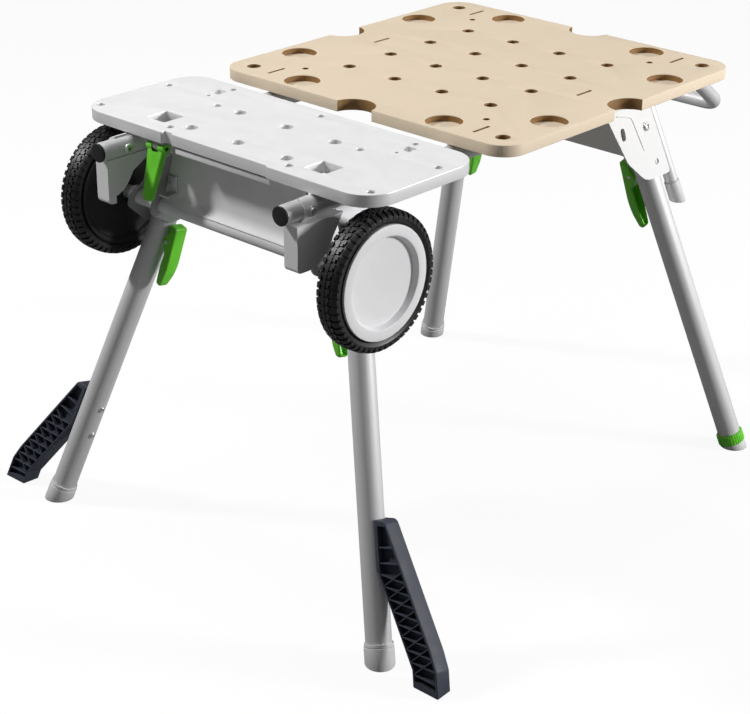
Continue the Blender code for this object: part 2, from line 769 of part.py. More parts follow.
def make_handle():
    """A bent bar plugged into the rails' back ends."""
    low = RAIL_Z - HANDLE_DROP
    bend = BOARD_REAR + HANDLE_BEND_BEHIND
    inside = RAIL_REAR - HANDLE_PLUG
    side = [(RAIL_X, inside, RAIL_Z), (RAIL_X, bend, RAIL_Z), (RAIL_X, HANDLE_REAR, low)]
    other = [(-x, y, z) for x, y, z in reversed(side)]
    path = rounded_path(side + other, HANDLE_CORNER)
    piece("loop_handle", bent_tube(path, HANDLE_RADIUS), TUBE_ALUMINIUM)


# Front supports under the rails

def strap_outline():
    """A band over the outer half of a rail, drawn about the rail's axis."""
    inner = RAIL_RADIUS + SEAT_GAP
    outer = inner + STRAP_THICKNESS
    step = (STRAP_END - STRAP_START) / STRAP_STEPS
    turns = [STRAP_START + step * i for i in range(STRAP_STEPS + 1)]
    outside = [(outer * math.cos(a), outer * math.sin(a)) for a in turns]
    inside = [(inner * math.cos(a), inner * math.sin(a)) for a in reversed(turns)]
    return outside + inside


def make_gusset(side, name):
    """A block under a rail's front end, with an outer cheek and a strap over the rail."""
    top = RAIL_UNDERSIDE - SEAT_GAP
    low = top - GUSSET_DROP
    front = RAIL_FRONT + GUSSET_SETBACK
    nose = front + GUSSET_NOSE
    reach = front + GUSSET_REACH
    body_points = [(front, top), (front, low), (nose, low),
                   (nose, low + GUSSET_NOSE_HEIGHT), (reach, top - GUSSET_CHEEK), (reach, top)]
    body_loop = rounded(body_points, [0, GUSSET_NOSE / 2, 0, GUSSET_NOSE / 4, 0, 0])
    cheek_end = front + GUSSET_CHEEK_REACH
    cheek_heel = front + GUSSET_CHEEK_REACH / 2
    cheek_points = [(front, top), (front, low), (cheek_heel, low), (cheek_end, top)]
    cheek_loop = rounded(cheek_points, [0, GUSSET_NOSE, GUSSET_REACH / 2, 0])
    outer = side * (RAIL_X + RAIL_RADIUS + GUSSET_OUTSET)
    middle = outer - side * GUSSET_WIDTH / 2
    gusset = piece(name + "_gusset", slab([body_loop], GUSSET_WIDTH), WHITE_PLATE, move(middle) @ FACING_X)
    cheek_x = outer - side * (GUSSET_CHEEK / 2 - SEAT_GAP)
    join(gusset, slab([cheek_loop], GUSSET_CHEEK), move(cheek_x) @ FACING_X)
    band = slab([[(side * x, y) for x, y in strap_outline()]], STRAP_WIDTH)
    join(gusset, band, move(side * RAIL_X, strap_bolt_y(), RAIL_Z) @ FACING_FRONT)
    hole = drill(STRAP_BOLT + 2 * SEAT_GAP, 0.0, RAIL_DIAMETER)
    cut(gusset, hole, move(side * RAIL_X, strap_bolt_y(), RAIL_Z) @ along_x(side))


def make_gusset_bolt(side, name):
    outside = RAIL_RADIUS + STRAP_THICKNESS + 2 * SEAT_GAP
    inside = -RAIL_RADIUS - SEAT_GAP
    bolt = bolt_mesh(STRAP_BOLT, STRAP_BOLT_HEAD, STRAP_BOLT_HEAD_HEIGHT, outside, inside)
    where = move(side * RAIL_X, strap_bolt_y(), RAIL_Z) @ along_x(side)
    piece(name + "_gusset_bolt", bolt, BRIGHT_STEEL, where)


# Leg frames: local Z runs up the leg, local X is the fold axis and points to the right

class Leg:
    """Where one leg pivots, how it leans, and what it is called."""

    def __init__(self, end, side):
        front = end == "front"
        self.front = front
        self.side = side
        self.name = ("left_" if side < 0 else "right_") + end
        if front:
            self.pivot = Vector((side * FRONT_PIVOT_X, FRONT_PIVOT_Y, FRONT_PIVOT_Z))
            foot = Vector((side * FRONT_FOOT_X, FRONT_FOOT_Y, 0.0))
        else:
            self.pivot = Vector((side * REAR_PIVOT_X, REAR_PIVOT_Y, TOP_HEIGHT - REAR_PIVOT_DROP))
            foot = Vector((side * REAR_FOOT_X, REAR_FOOT_Y, 0.0))
        self.lock = FRONT_LOCK if front else REAR_LOCK
        self.lever_tip = FRONT_LEVER_TIP if front else REAR_LEVER_TIP
        self.adjustable = side > 0 and not front
        self.length = (self.pivot - foot).length
        self.up = (self.pivot - foot).normalized()
        self.axis = Vector((self.up.z, 0.0, -self.up.x)).normalized()
        self.across = self.up.cross(self.axis)
        self.rise = self.axis.cross(Y_AXIS)
        self.matrix = axes(self.axis, self.across, self.up, self.pivot)
        self.plate_matrix = axes(self.axis, Y_AXIS, self.rise, self.pivot)
        self.down_y = -self.up.y
        self.down_w = -self.up.dot(self.rise)
        outward = X_AXIS - X_AXIS.dot(self.up) * self.up
        self.square_turn = math.atan2(outward.dot(self.across), outward.dot(self.axis))
        self.pivot_empty = empty(self.name + "_pivot", self.matrix, DATUM)

    def plate_w(self, out, z):
        """Height on a bracket plate, at a distance out from the pivot, for a level z."""
        return (z - self.pivot.z - self.side * out * self.axis.z) / self.rise.z

    def plate_x(self, out, z):
        """How far from the middle a bracket plate lies at a level z."""
        point = self.pivot + self.side * out * self.axis + self.plate_w(out, z) * self.rise
        return self.side * point.x


LEGS = [Leg(end, side) for end in ("front", "rear") for side in (-1, 1)]
FRONT_RIGHT = LEGS[1]
REAR_RIGHT = LEGS[3]


# Wheels and axle

def make_wheels():
    outer = WHEEL_DIAMETER / 2
    rim = RIM_DIAMETER / 2
    low = RIM_INSET / 2
    high = WHEEL_WIDTH - RIM_INSET / 2
    shoulder = (outer - rim) / 4
    tread = (high - low) / 5
    bore = rim + SEAT_GAP
    tyre = [(outer - shoulder, high - shoulder / 2), (outer, high - tread), (outer, low + tread),
            (outer - shoulder, low + shoulder / 2), (rim + 2 * shoulder, low), (bore, low + shoulder),
            (bore, high - shoulder), (rim + 2 * shoulder, high)]
    dish = rim - COVER_RING
    back = WHEEL_WIDTH - COVER_LIP
    dish_face = WHEEL_WIDTH - COVER_RECESS
    dish_back = dish_face - COVER_WALL
    edge = COVER_WALL / 2
    cover = [(0.0, dish_face), (dish - COVER_WALL, dish_face), (dish, WHEEL_WIDTH - edge),
             (dish + edge, WHEEL_WIDTH), (rim - 2 * edge, WHEEL_WIDTH), (rim - edge, WHEEL_WIDTH - 2 * edge),
             (rim - edge, back), (dish + 2 * COVER_WALL, back), (dish, dish_back), (0.0, dish_back)]
    hole = AXLE_RADIUS + RUNNING_GAP
    hub = HUB_DIAMETER / 2
    web_high = WHEEL_WEB_LOW + WHEEL_WEB
    body = [(rim, back - SEAT_GAP), (rim, RIM_INSET), (rim - 6 * edge, RIM_INSET),
            (rim - 10 * edge, WHEEL_WEB_LOW), (hub, WHEEL_WEB_LOW), (hub - COVER_WALL, 0.0), (hole, 0.0),
            (hole, HUB_LENGTH), (hub - COVER_WALL, HUB_LENGTH), (hub, web_high),
            (dish - COVER_WALL, web_high), (dish + edge, dish_back - 2 * SEAT_GAP),
            (dish + 5 * edge, back - SEAT_GAP)]
    for side, name in SIDES:
        where = move(side * (WHEEL_INNER_X + RUNNING_GAP), AXLE_Y, AXLE_Z) @ along_x(side)
        hub_empty = empty(name + "_wheel_axis", where, DATUM)
        piece(name + "_tyre", turned(tyre, WHEEL_STEPS), BLACK_RUBBER, parent=hub_empty)
        piece(name + "_rim", turned(body, WHEEL_STEPS), BLACK_PLASTIC, parent=hub_empty)
        disc = turned(cover, WHEEL_STEPS, closed=False)
        piece(name + "_hub_cover", disc, SILVER_PLASTIC, parent=hub_empty)


def make_axle():
    half = AXLE_TUBE_LENGTH / 2
    across = move(0.0, AXLE_Y, AXLE_Z) @ along_x(1)
    bore = AXLE_RADIUS + SEAT_GAP
    piece("axle_tube", ring(AXLE_TUBE_RADIUS, bore, -half, half), GREY_STEEL, across)
    hub_end = WHEEL_INNER_X + RUNNING_GAP + HUB_LENGTH
    tip = hub_end + RUNNING_GAP + RETAINER_THICKNESS
    collar = AXLE_COLLAR_DIAMETER / 2
    near = half + SEAT_GAP
    profile = [(0.0, tip), (AXLE_RADIUS, tip), (AXLE_RADIUS, WHEEL_INNER_X), (collar, WHEEL_INNER_X),
               (collar, near), (AXLE_RADIUS, near), (AXLE_RADIUS, -near), (collar, -near),
               (collar, -WHEEL_INNER_X), (AXLE_RADIUS, -WHEEL_INNER_X), (AXLE_RADIUS, -tip), (0.0, -tip)]
    piece("wheel_axle", turned(profile, FASTENER_SIDES, closed=False), BRIGHT_STEEL, across)
    for side, name in SIDES:
        washer = ring(RETAINER_DIAMETER / 2, bore, hub_end + RUNNING_GAP, tip, FASTENER_SIDES)
        piece(name + "_axle_retainer", washer, BRIGHT_STEEL, move(0.0, AXLE_Y, AXLE_Z) @ along_x(side))


def make_front_beam():
    """A web over the axle tube, with a flange and a lip under the table's front edge."""
    top = TOP_UNDERSIDE - SEAT_GAP
    low = AXLE_Z + AXLE_TUBE_RADIUS + SEAT_GAP
    knee = RAIL_UNDERSIDE
    inner_face = -(PLATE_INNER + BRACKET_PLATE + SEAT_GAP)
    wide = FRONT_RIGHT.plate_x(inner_face, low)
    narrow = FRONT_RIGHT.plate_x(inner_face, knee)
    half = [(wide, low), (narrow, knee), (narrow, top)]
    outline = half + [(-x, z) for x, z in reversed(half)]
    beam = piece("front_beam", slab([outline], BEAM_WALL), WHITE_PLATE, move(y=AXLE_Y) @ FACING_FRONT)
    front = TABLE_FRONT + FLANGE_SETBACK
    flange_low = top - FLANGE_THICKNESS
    join(beam, span_box((FLANGE_LEFT, front, flange_low), (FLANGE_RIGHT, AXLE_Y, top - SEAT_GAP)))
    lip_low = flange_low - LIP_HEIGHT
    lip_back = front + FLANGE_THICKNESS
    lip_top = top - FLANGE_THICKNESS / 2
    join(beam, span_box((FLANGE_LEFT, front, lip_low), (FLANGE_RIGHT, lip_back, lip_top)))


# Leg brackets

def lock_place(leg):
    """The lock hole's place on a bracket plate."""
    return leg.down_y * leg.lock, leg.down_w * leg.lock


def front_plates(leg):
    """Outlines of the outer and inner plates of a front bracket."""
    axle_y = AXLE_Y - leg.pivot.y
    front = axle_y - BRACKET_EDGE
    lock_y, lock_w = lock_place(leg)
    low = lock_w - LOCK_MARGIN
    top = RAIL_UNDERSIDE - SEAT_GAP
    outer_top = leg.plate_w(PLATE_OUTER + BRACKET_PLATE, top)
    outer_axle = leg.plate_w(PLATE_OUTER, AXLE_Z)
    outer = [(axle_y, outer_top), (axle_y, outer_axle + BRACKET_EDGE),
             (front, outer_axle + BRACKET_EDGE / 3), (front, outer_axle - BRACKET_EDGE / 2),
             (lock_y - LOCK_MARGIN, low), (lock_y + LOCK_MARGIN, low),
             (BRACKET_REAR_EDGE, -PIVOT_MARGIN / 2), (BRACKET_REAR_EDGE, outer_top)]
    inner_top = leg.plate_w(-PLATE_INNER, top)
    inner_axle = leg.plate_w(-PLATE_INNER, AXLE_Z)
    inner = [(front, inner_top), (front, inner_axle - BRACKET_EDGE / 2), (-PIVOT_MARGIN, -PIVOT_MARGIN),
             (PIVOT_MARGIN, -PIVOT_MARGIN), (PIVOT_MARGIN, inner_top)]
    bend = BRACKET_EDGE / 2
    outer_loop = rounded(outer, [0, bend, bend, bend, LOCK_MARGIN, LOCK_MARGIN, PIVOT_MARGIN, 0])
    inner_loop = rounded(inner, [0, bend, PIVOT_MARGIN / 2, PIVOT_MARGIN, 0])
    return outer_loop, inner_loop


def web_middle(leg, height):
    """How far behind the pivot a rear bracket's web runs, at a height on the bracket's plates."""
    middle = LEG_RADIUS + REAR_WEB_STANDOFF + BRACKET_WEB / 2
    along = (height - middle * leg.across.dot(leg.rise)) / leg.up.dot(leg.rise)
    return middle * leg.across.y + along * leg.up.y


def rear_plates(leg):
    """Outlines of the outer and inner plates of a rear bracket."""
    top = RAIL_UNDERSIDE - SEAT_GAP
    outer_top = leg.plate_w(PLATE_OUTER + BRACKET_PLATE, top)
    outer = [(-REAR_PLATE_TOP_REACH, outer_top), (-REAR_PLATE_FRONT, -REAR_PLATE_FRONT_DROP),
             (-REAR_PLATE_TOE, -REAR_PLATE_DROP), (web_middle(leg, -REAR_PLATE_DROP), -REAR_PLATE_DROP),
             (web_middle(leg, outer_top), outer_top)]
    inner_top = leg.plate_w(-PLATE_INNER, top)
    back = rear_beam_y() - leg.pivot.y + REAR_BEAM_WALL / 2
    inner = [(-PIVOT_MARGIN, inner_top), (-PIVOT_MARGIN, -PIVOT_MARGIN), (back, -PIVOT_MARGIN),
             (back, inner_top)]
    outer_loop = rounded(outer, [0, REAR_PLATE_ROUND, REAR_PLATE_ROUND, LOCK_MARGIN / 2, 0], CORNER_STEPS)
    inner_loop = rounded(inner, [0, PIVOT_MARGIN, PIVOT_MARGIN / 2, 0])
    return outer_loop, inner_loop


def web_box(leg):
    """The web that joins a bracket's two plates, in the leg's own frame."""
    inner = -(PLATE_INNER + BRACKET_PLATE / 2)
    outer = PLATE_OUTER + BRACKET_PLATE / 2
    low_x, high_x = sorted((leg.side * inner, leg.side * outer))
    if leg.front:
        near = -(LEG_RADIUS + FRONT_WEB_STANDOFF)
        return span_box((low_x, near - BRACKET_WEB, -FRONT_WEB_BELOW), (high_x, near, FRONT_WEB_ABOVE))
    near = LEG_RADIUS + REAR_WEB_STANDOFF
    return span_box((low_x, near, -REAR_WEB_BELOW), (high_x, near + BRACKET_WEB, REAR_WEB_ABOVE))


def make_bracket(leg):
    outer_loop, inner_loop = front_plates(leg) if leg.front else rear_plates(leg)
    pivot_hole = circle(0.0, 0.0, PIVOT_BOLT + 2 * SEAT_GAP, FASTENER_SIDES)
    lock_y, lock_w = lock_place(leg)
    lock_hole = circle(lock_y, lock_w, PLUNGER_DIAMETER + 4 * RUNNING_GAP, FASTENER_SIDES)
    outer_loops = [outer_loop, pivot_hole, lock_hole]
    if not leg.front:
        outer_loops.append(upright_slot(-leg.lock, 0.0, FOLD_SLOT_LENGTH, FOLD_SLOT_WIDTH))
    outer_x = leg.side * (PLATE_OUTER + BRACKET_PLATE / 2)
    inner_x = -leg.side * (PLATE_INNER + BRACKET_PLATE / 2)
    finish = GREY_STEEL if leg.front else WHITE_PLATE
    outer_plate = slab(outer_loops, BRACKET_PLATE)
    bracket = piece(leg.name + "_bracket", outer_plate, finish, leg.plate_matrix @ move(outer_x) @ FACING_X)
    join(bracket, web_box(leg), leg.matrix)
    join(bracket, slab([inner_loop, pivot_hole], BRACKET_PLATE), leg.plate_matrix @ move(inner_x) @ FACING_X)
    if leg.front:
        passage = drill(AXLE_TUBE_DIAMETER + 4 * SEAT_GAP, 0.0, AXLE_TUBE_LENGTH, TUBE_STEPS)
        cut(bracket, passage, move(0.0, AXLE_Y, AXLE_Z) @ along_x(leg.side))


def make_pivot_bolt(leg):
    outside = PLATE_OUTER + BRACKET_PLATE + SEAT_GAP
    inside = -(PLATE_INNER + BRACKET_PLATE + SEAT_GAP)
    bolt = bolt_mesh(PIVOT_BOLT, PIVOT_HEAD, PIVOT_HEAD_HEIGHT, outside, inside)
    piece(leg.name + "_pivot_bolt", bolt, BRIGHT_STEEL, leg.matrix @ along_x(leg.side))


def rear_beam_y():
    """The rear beam stands behind the rear legs' pivots, clear of their turning ends."""
    turning = math.hypot(LEG_RADIUS, LEG_ABOVE_PIVOT)
    return REAR_PIVOT_Y + turning + REAR_BEAM_STANDOFF + REAR_BEAM_WALL / 2


def make_rear_beam():
    """A sheet beam between the rear brackets, with a lip turned back along its lower edge."""
    low = TOP_HEIGHT - REAR_BEAM_DROP
    high = RAIL_UNDERSIDE - SEAT_GAP
    inner_face = -(PLATE_INNER + BRACKET_PLATE + SEAT_GAP)
    wide = REAR_RIGHT.plate_x(inner_face, low)
    narrow = REAR_RIGHT.plate_x(inner_face, high)
    outline = [(wide, low), (narrow, high), (-narrow, high), (-wide, low)]
    where = move(y=rear_beam_y()) @ FACING_FRONT
    beam = piece("rear_beam", slab([outline], REAR_BEAM_WALL), GREY_STEEL, where)
    front = rear_beam_y()
    back = front + REAR_BEAM_LIP
    join(beam, span_box((-narrow, front, low + SEAT_GAP), (narrow, back, low + REAR_BEAM_WALL)))


def make_stub_foot(leg):
    """A short foot behind a rear bracket, level with the bottom of the wheels."""
    radius = STUB_DIAMETER / 2
    x = PLATE_OUTER - SEAT_GAP - radius
    y = LEG_RADIUS + REAR_WEB_STANDOFF + BRACKET_WEB + SEAT_GAP + radius
    cap_radius = STUB_CAP_DIAMETER / 2
    foot = leg.matrix @ move(leg.side * x, y)
    low = -(foot.translation.z - REST_Z) / leg.up.z
    tube_low = low + STUB_CAP_SOLE
    tube = ring(radius, radius - STUB_WALL, tube_low, REAR_WEB_ABOVE, HOLE_SIDES)
    piece(leg.name + "_stub_tube", tube, TUBE_ALUMINIUM, foot)
    seat = tube_low - SEAT_GAP
    bore = radius + SEAT_GAP
    top = low + STUB_CAP_HEIGHT
    bottom = low - STUB_CAP_DIAMETER
    profile = [(0.0, seat), (bore, seat), (bore, top), (cap_radius, top), (cap_radius, bottom), (0.0, bottom)]
    cup = turned(profile, HOLE_SIDES, closed=False)
    cap = piece(leg.name + "_stub_cap", cup, GREY_PLASTIC, foot)
    cut(cap, floor_block(REST_Z), parent=DATUM)


# Legs and what rides on them

def floor_block(lift=0.0):
    """A block below the floor, for cutting feet level."""
    reach = 2 * FRONT_FOOT_X
    return span_box((-reach, -2 * reach, -reach), (reach, 2 * reach, lift))


def tube_end(leg):
    """How far below its pivot a leg's tube stops."""
    if leg.adjustable:
        return leg.length - ADJUSTER_PAD_HEIGHT - ADJUSTER_RING_HEIGHT - 3 * SEAT_GAP
    return leg.length - FOOT_SOLE


def lever_place(leg):
    """The lock lever's pivot, in the leg's frame."""
    return Vector((-leg.side * LEVER_PIVOT, 0.0, -(leg.lock + LEVER_ARM)))


def lug_outline(leg):
    """An ear from the leg's wall to round the lever's pin, drawn in X and Z."""
    pin = lever_place(leg)
    root = -leg.side * (LEG_BORE + LEG_WALL / 2)
    half = LUG_DIAMETER / 2
    points = [(root, pin.z - half), (pin.x - leg.side * half, pin.z - half),
              (pin.x - leg.side * half, pin.z + half), (root, pin.z + half)]
    return rounded(points, [0, half, half, 0])


def make_leg(leg):
    """A tube with a welded ear and a cross pin for its lock lever."""
    tube = ring(LEG_RADIUS, LEG_BORE, -tube_end(leg), LEG_ABOVE_PIVOT)
    obj = piece(leg.name + "_leg", tube, TUBE_ALUMINIUM, parent=leg.pivot_empty)
    join(obj, slab([lug_outline(leg)], LUG_THICKNESS), FACING_FRONT)
    pin_half = LEVER_WIDTH / 2 + SEAT_GAP * 3
    pin = rod(LEVER_PIN, -pin_half, pin_half)
    join(obj, pin, Matrix.Translation(lever_place(leg)) @ ALONG_Y)
    bolt_hole = drill(PIVOT_BOLT + 2 * RUNNING_GAP, -LEG_DIAMETER, LEG_DIAMETER)
    cut(obj, bolt_hole, along_x(1))
    lock_hole = drill(PLUNGER_DIAMETER + 2 * RUNNING_GAP, -LEG_DIAMETER, LEG_DIAMETER)
    cut(obj, lock_hole, move(z=-leg.lock) @ along_x(1))


def make_foot(leg):
    """A plastic sleeve over the leg's end, cut level with the floor."""
    outer = FOOT_DIAMETER / 2
    bore = LEG_RADIUS + SEAT_GAP
    high = -leg.length + FOOT_SLEEVE
    low = -leg.length - FOOT_DIAMETER / 2
    seat = -tube_end(leg) - SEAT_GAP
    band = FOOT_SLEEVE / 6
    neck = outer - FOOT_BAND
    profile = [(0.0, seat), (bore, seat), (bore, high), (neck, high), (neck, high - band),
               (outer, high - band), (outer, low), (0.0, low)]
    sleeve = turned(profile, TUBE_STEPS, closed=False)
    foot = piece(leg.name + "_foot", sleeve, GREY_PLASTIC, parent=leg.pivot_empty)
    cut(foot, floor_block(), parent=DATUM)


def make_adjuster(leg):
    """A green ring that screws a pad in and out at the end of one leg."""
    base = -leg.length
    pad_high = base + ADJUSTER_PAD_HEIGHT
    stud = ADJUSTER_STUD / 2
    pad = ADJUSTER_PAD_DIAMETER / 2
    low = base - ADJUSTER_PAD_DIAMETER / 2
    stud_top = base + ADJUSTER_STUD_LENGTH
    profile = [(0.0, stud_top), (stud, stud_top), (stud, pad_high), (pad, pad_high), (pad, low), (0.0, low)]
    sole = turned(profile, TUBE_STEPS, closed=False)
    foot = piece("adjuster_pad", sole, GREY_PLASTIC, parent=leg.pivot_empty)
    cut(foot, floor_block(), parent=DATUM)
    ring_low = pad_high + SEAT_GAP
    ring_high = ring_low + ADJUSTER_RING_HEIGHT
    bore = stud + RUNNING_GAP
    grip = ADJUSTER_RING_DIAMETER / 2
    edge = ADJUSTER_RING_HEIGHT / 9
    collar = [(grip - edge, ring_high), (grip, ring_high - edge), (grip, ring_low + edge),
              (grip - edge, ring_low), (bore, ring_low), (bore, ring_high)]
    piece("adjuster_ring", turned(collar, TUBE_STEPS), GREEN_PLASTIC, parent=leg.pivot_empty)
    socket_low = -tube_end(leg)
    socket_high = socket_low + ADJUSTER_SOCKET_LENGTH
    socket = ring(LEG_BORE - SEAT_GAP, bore, socket_low, socket_high, TUBE_STEPS)
    piece("adjuster_socket", socket, GREY_PLASTIC, parent=leg.pivot_empty)


def lever_outline(leg):
    """A lock lever seen from the side: hood, boss and grip, drawn about its pin."""
    length = leg.lever_tip - leg.lock - LEVER_ARM
    near = LEVER_PIVOT_OUT - LEVER_GRIP_STANDOFF
    far = near - LEVER_GRIP_THICKNESS
    half_fork = LEVER_FORK_THICKNESS / 2
    boss = LEVER_BOSS / 2
    fork_top = LEVER_ARM + LEVER_FORK_ABOVE
    heel = far + LEVER_GRIP_THICKNESS / 4
    toe = near - LEVER_GRIP_THICKNESS / 8
    hood = far + LEVER_HOOD_WALL
    points = [(hood, fork_top), (far, -LEVER_GRIP_BACK), (heel, -length), (toe, -length),
              (near, -LEVER_GRIP_FRONT), (boss, -boss / 2), (boss, boss / 2), (half_fork, boss),
              (half_fork, fork_top)]
    rounding = LEVER_GRIP_THICKNESS / 3
    boss_round = rounding / 2
    radii = [boss_round, rounding, rounding, rounding, rounding, boss_round, boss_round, 0, 0]
    return facing_side(leg, rounded(points, radii))


def make_lever(leg):
    pin = lever_place(leg)
    pivot = empty(leg.name + "_lever_pin", Matrix.Translation(pin), leg.pivot_empty)
    hole = circle(0.0, 0.0, LEVER_PIN + 2 * RUNNING_GAP, FASTENER_SIDES)
    blade = slab([lever_outline(leg), hole], LEVER_WIDTH)
    lever = piece(leg.name + "_lever", blade, GREEN_PLASTIC, FACING_FRONT, pivot)
    slot = max(PLUNGER_DIAMETER + 4 * RUNNING_GAP, LUG_THICKNESS + 2 * RUNNING_GAP)
    half = LUG_DIAMETER / 2 + LUG_CLEARANCE
    cut(lever, span_box((-half, -slot / 2, -half), (half, slot / 2, 2 * LEVER_ARM)), Matrix(), pivot)
    far = LEVER_PIVOT_OUT - LEVER_GRIP_STANDOFF - LEVER_GRIP_THICKNESS
    pocket = PLUNGER_COLLAR / 2 + LUG_CLEARANCE
    low_x, high_x = sorted((leg.side * (far + 2 * LEVER_HOOD_WALL), -leg.side * LEVER_FORK_THICKNESS / 2))
    room = span_box((low_x, -pocket, LEVER_ARM - pocket), (high_x, pocket, 2 * LEVER_ARM))
    cut(lever, room, Matrix(), pivot)


def make_plunger(leg):
    """A lock pin through the leg, held by a collar behind the lever's fork."""
    fork_back = -(LEVER_PIVOT + LEVER_FORK_THICKNESS / 2)
    collar_front = fork_back - 2 * RUNNING_GAP
    collar_back = collar_front - PLUNGER_COLLAR_LENGTH
    nose = PLATE_OUTER - PLUNGER_NOSE_GAP
    shank = PLUNGER_DIAMETER / 2
    collar = PLUNGER_COLLAR / 2
    tip = shank / 4
    profile = [(0.0, nose), (shank - tip, nose), (shank, nose - tip), (shank, collar_front),
               (collar, collar_front), (collar, collar_back), (0.0, collar_back)]
    pin = turned(profile, FASTENER_SIDES, closed=False)
    where = move(z=-leg.lock) @ along_x(leg.side)
    piece(leg.name + "_plunger", pin, BRIGHT_STEEL, where, leg.pivot_empty)


def facing_side(leg, outline):
    """An outline drawn for the right-hand side, mirrored for a left-hand leg."""
    return [(leg.side * x, z) for x, z in outline]


def stab_inner(height):
    """How far out the stabiliser's inner edge lies, at a height up the leg from the foot."""
    if height >= STAB_LEAVE:
        return LEG_RADIUS
    return LEG_RADIUS + (STAB_FOOT_IN - LEG_RADIUS) * (STAB_LEAVE - height) / STAB_LEAVE


def stab_outer(height):
    if height >= STAB_KNEE:
        share = (STAB_HEIGHT - height) / (STAB_HEIGHT - STAB_KNEE)
        return STAB_TOP_OUT + (STAB_KNEE_OUT - STAB_TOP_OUT) * share
    share = (STAB_KNEE - height) / STAB_KNEE
    return STAB_KNEE_OUT + (STAB_FOOT_OUT - STAB_KNEE_OUT) * share


def stab_cells():
    """Recesses between the ribs on the stabiliser's front face."""
    top = STAB_HEIGHT - 3 * STAB_FRAME
    step = top / STAB_CELLS
    cells = []
    for i in range(STAB_CELLS):
        high = top - step * i - STAB_RIB / 2
        low = top - step * (i + 1) + STAB_RIB / 2
        wall = STAB_FRAME
        cells.append([(stab_inner(low) + wall, low), (stab_outer(low) - wall, low),
                      (stab_outer(high) - wall, high), (stab_inner(high) + wall, high)])
    return cells


def make_stabiliser(leg):
    """A ribbed strut that hugs the outer side of a front leg and reaches out to the floor."""
    saddle = LEG_RADIUS - STAB_FRAME
    sink = -STAB_FOOT_OUT / 2
    points = [(saddle, STAB_HEIGHT), (STAB_TOP_OUT, STAB_HEIGHT), (STAB_KNEE_OUT, STAB_KNEE),
              (STAB_FOOT_OUT, 0.0),
              (STAB_FOOT_OUT, sink), (STAB_FOOT_IN, sink), (STAB_FOOT_IN, 0.0), (LEG_RADIUS, STAB_LEAVE),
              (saddle, STAB_LEAVE + STAB_FRAME)]
    bend = STAB_BEND
    radii = [0, STAB_TOP_ROUND, STAB_KNEE_ROUND, bend / 2, 0, 0, bend / 2, bend, 0]
    outline = rounded(points, radii)
    square = Matrix.Rotation(leg.square_turn, 4, "Z") @ move(z=-leg.length)
    name = leg.name.replace("_front", "_stabiliser")
    blank = slab([facing_side(leg, outline)], STAB_DEPTH)
    strut = piece(name, blank, BLACK_PLASTIC, square @ FACING_FRONT, leg.pivot_empty)
    cells = [(slab([facing_side(leg, cell)], STAB_DEPTH), Matrix()) for cell in stab_cells()]
    cut(strut, joined(cells), square @ move(y=-STAB_BACK_WALL) @ FACING_FRONT)
    hug = drill(LEG_DIAMETER + 2 * SEAT_GAP, -leg.length, 0.0, 2 * TUBE_STEPS)
    cut(strut, hug)
    cut(strut, floor_block(STAB_LIFT), parent=DATUM)


# Front release lever

def latch_pivot():
    return Vector((LATCH_X, TABLE_FRONT + LATCH_SETBACK, TOP_HEIGHT - LATCH_PIVOT_DROP))


def make_latch():
    """A forked lever on a tongue under the table, and the catch behind it."""
    hang = Matrix.Translation(latch_pivot())
    pivot = empty("latch_axis", hang @ Matrix.Rotation(-LATCH_TILT, 4, "X"), DATUM)
    half_top = LATCH_TOP_WIDTH / 2
    half_tip = LATCH_TIP_WIDTH / 2
    points = [(-half_top, 0.0), (-half_tip, -LATCH_LENGTH), (half_tip, -LATCH_LENGTH), (half_top, 0.0)]
    blade = slab([rounded(points, [0, half_tip / 2, half_tip / 2, 0])], LATCH_THICKNESS)
    lever = piece("latch_lever", blade, GREEN_PLASTIC, FACING_FRONT, pivot)
    join(lever, rod(LATCH_BOSS, -half_top, half_top), along_x(1), pivot)
    gap = LATCH_TONGUE + 4 * RUNNING_GAP
    cut(lever, box(gap, 2 * LATCH_BOSS, 2 * LATCH_BOSS), Matrix(), pivot)
    cut(lever, drill(LATCH_PIN + 2 * RUNNING_GAP, -LATCH_TOP_WIDTH, LATCH_TOP_WIDTH), along_x(1), pivot)
    top = TOP_UNDERSIDE - SEAT_GAP - latch_pivot().z
    base_low = top - LATCH_BASE
    radius = LATCH_PIN
    tongue_top = top - LATCH_BASE / 2
    tongue = [(-radius, tongue_top), (-radius, -radius), (radius, -radius), (radius, tongue_top)]
    pin_hole = circle(0.0, 0.0, LATCH_PIN + 2 * SEAT_GAP, FASTENER_SIDES)
    loops = [rounded(tongue, [0, radius, radius, 0]), pin_hole]
    mount = piece("latch_mount", slab(loops, LATCH_TONGUE), GREY_STEEL, hang @ FACING_X)
    deep = LATCH_TOP_WIDTH / 2
    near = LATCH_BASE - LATCH_SETBACK
    join(mount, span_box((-half_top, near, base_low), (half_top, deep, top)), hang)
    pin = rod(LATCH_PIN, -half_top, half_top)
    piece("latch_pin", pin, BRIGHT_STEEL, hang @ along_x(1))
    web_face = AXLE_Y - BEAM_WALL / 2 - SEAT_GAP
    low = TOP_HEIGHT - CATCH_DROP
    left = CATCH_X - CATCH_WIDTH / 2
    right = CATCH_X + CATCH_WIDTH / 2
    upright = span_box((left, web_face - CATCH_WALL, low), (right, web_face, low + CATCH_HEIGHT))
    catch = piece("latch_catch", upright, BRIGHT_STEEL)
    shelf_back = web_face - CATCH_WALL / 2
    join(catch, span_box((left, web_face - CATCH_REACH, low), (right, shelf_back, low + CATCH_WALL)))


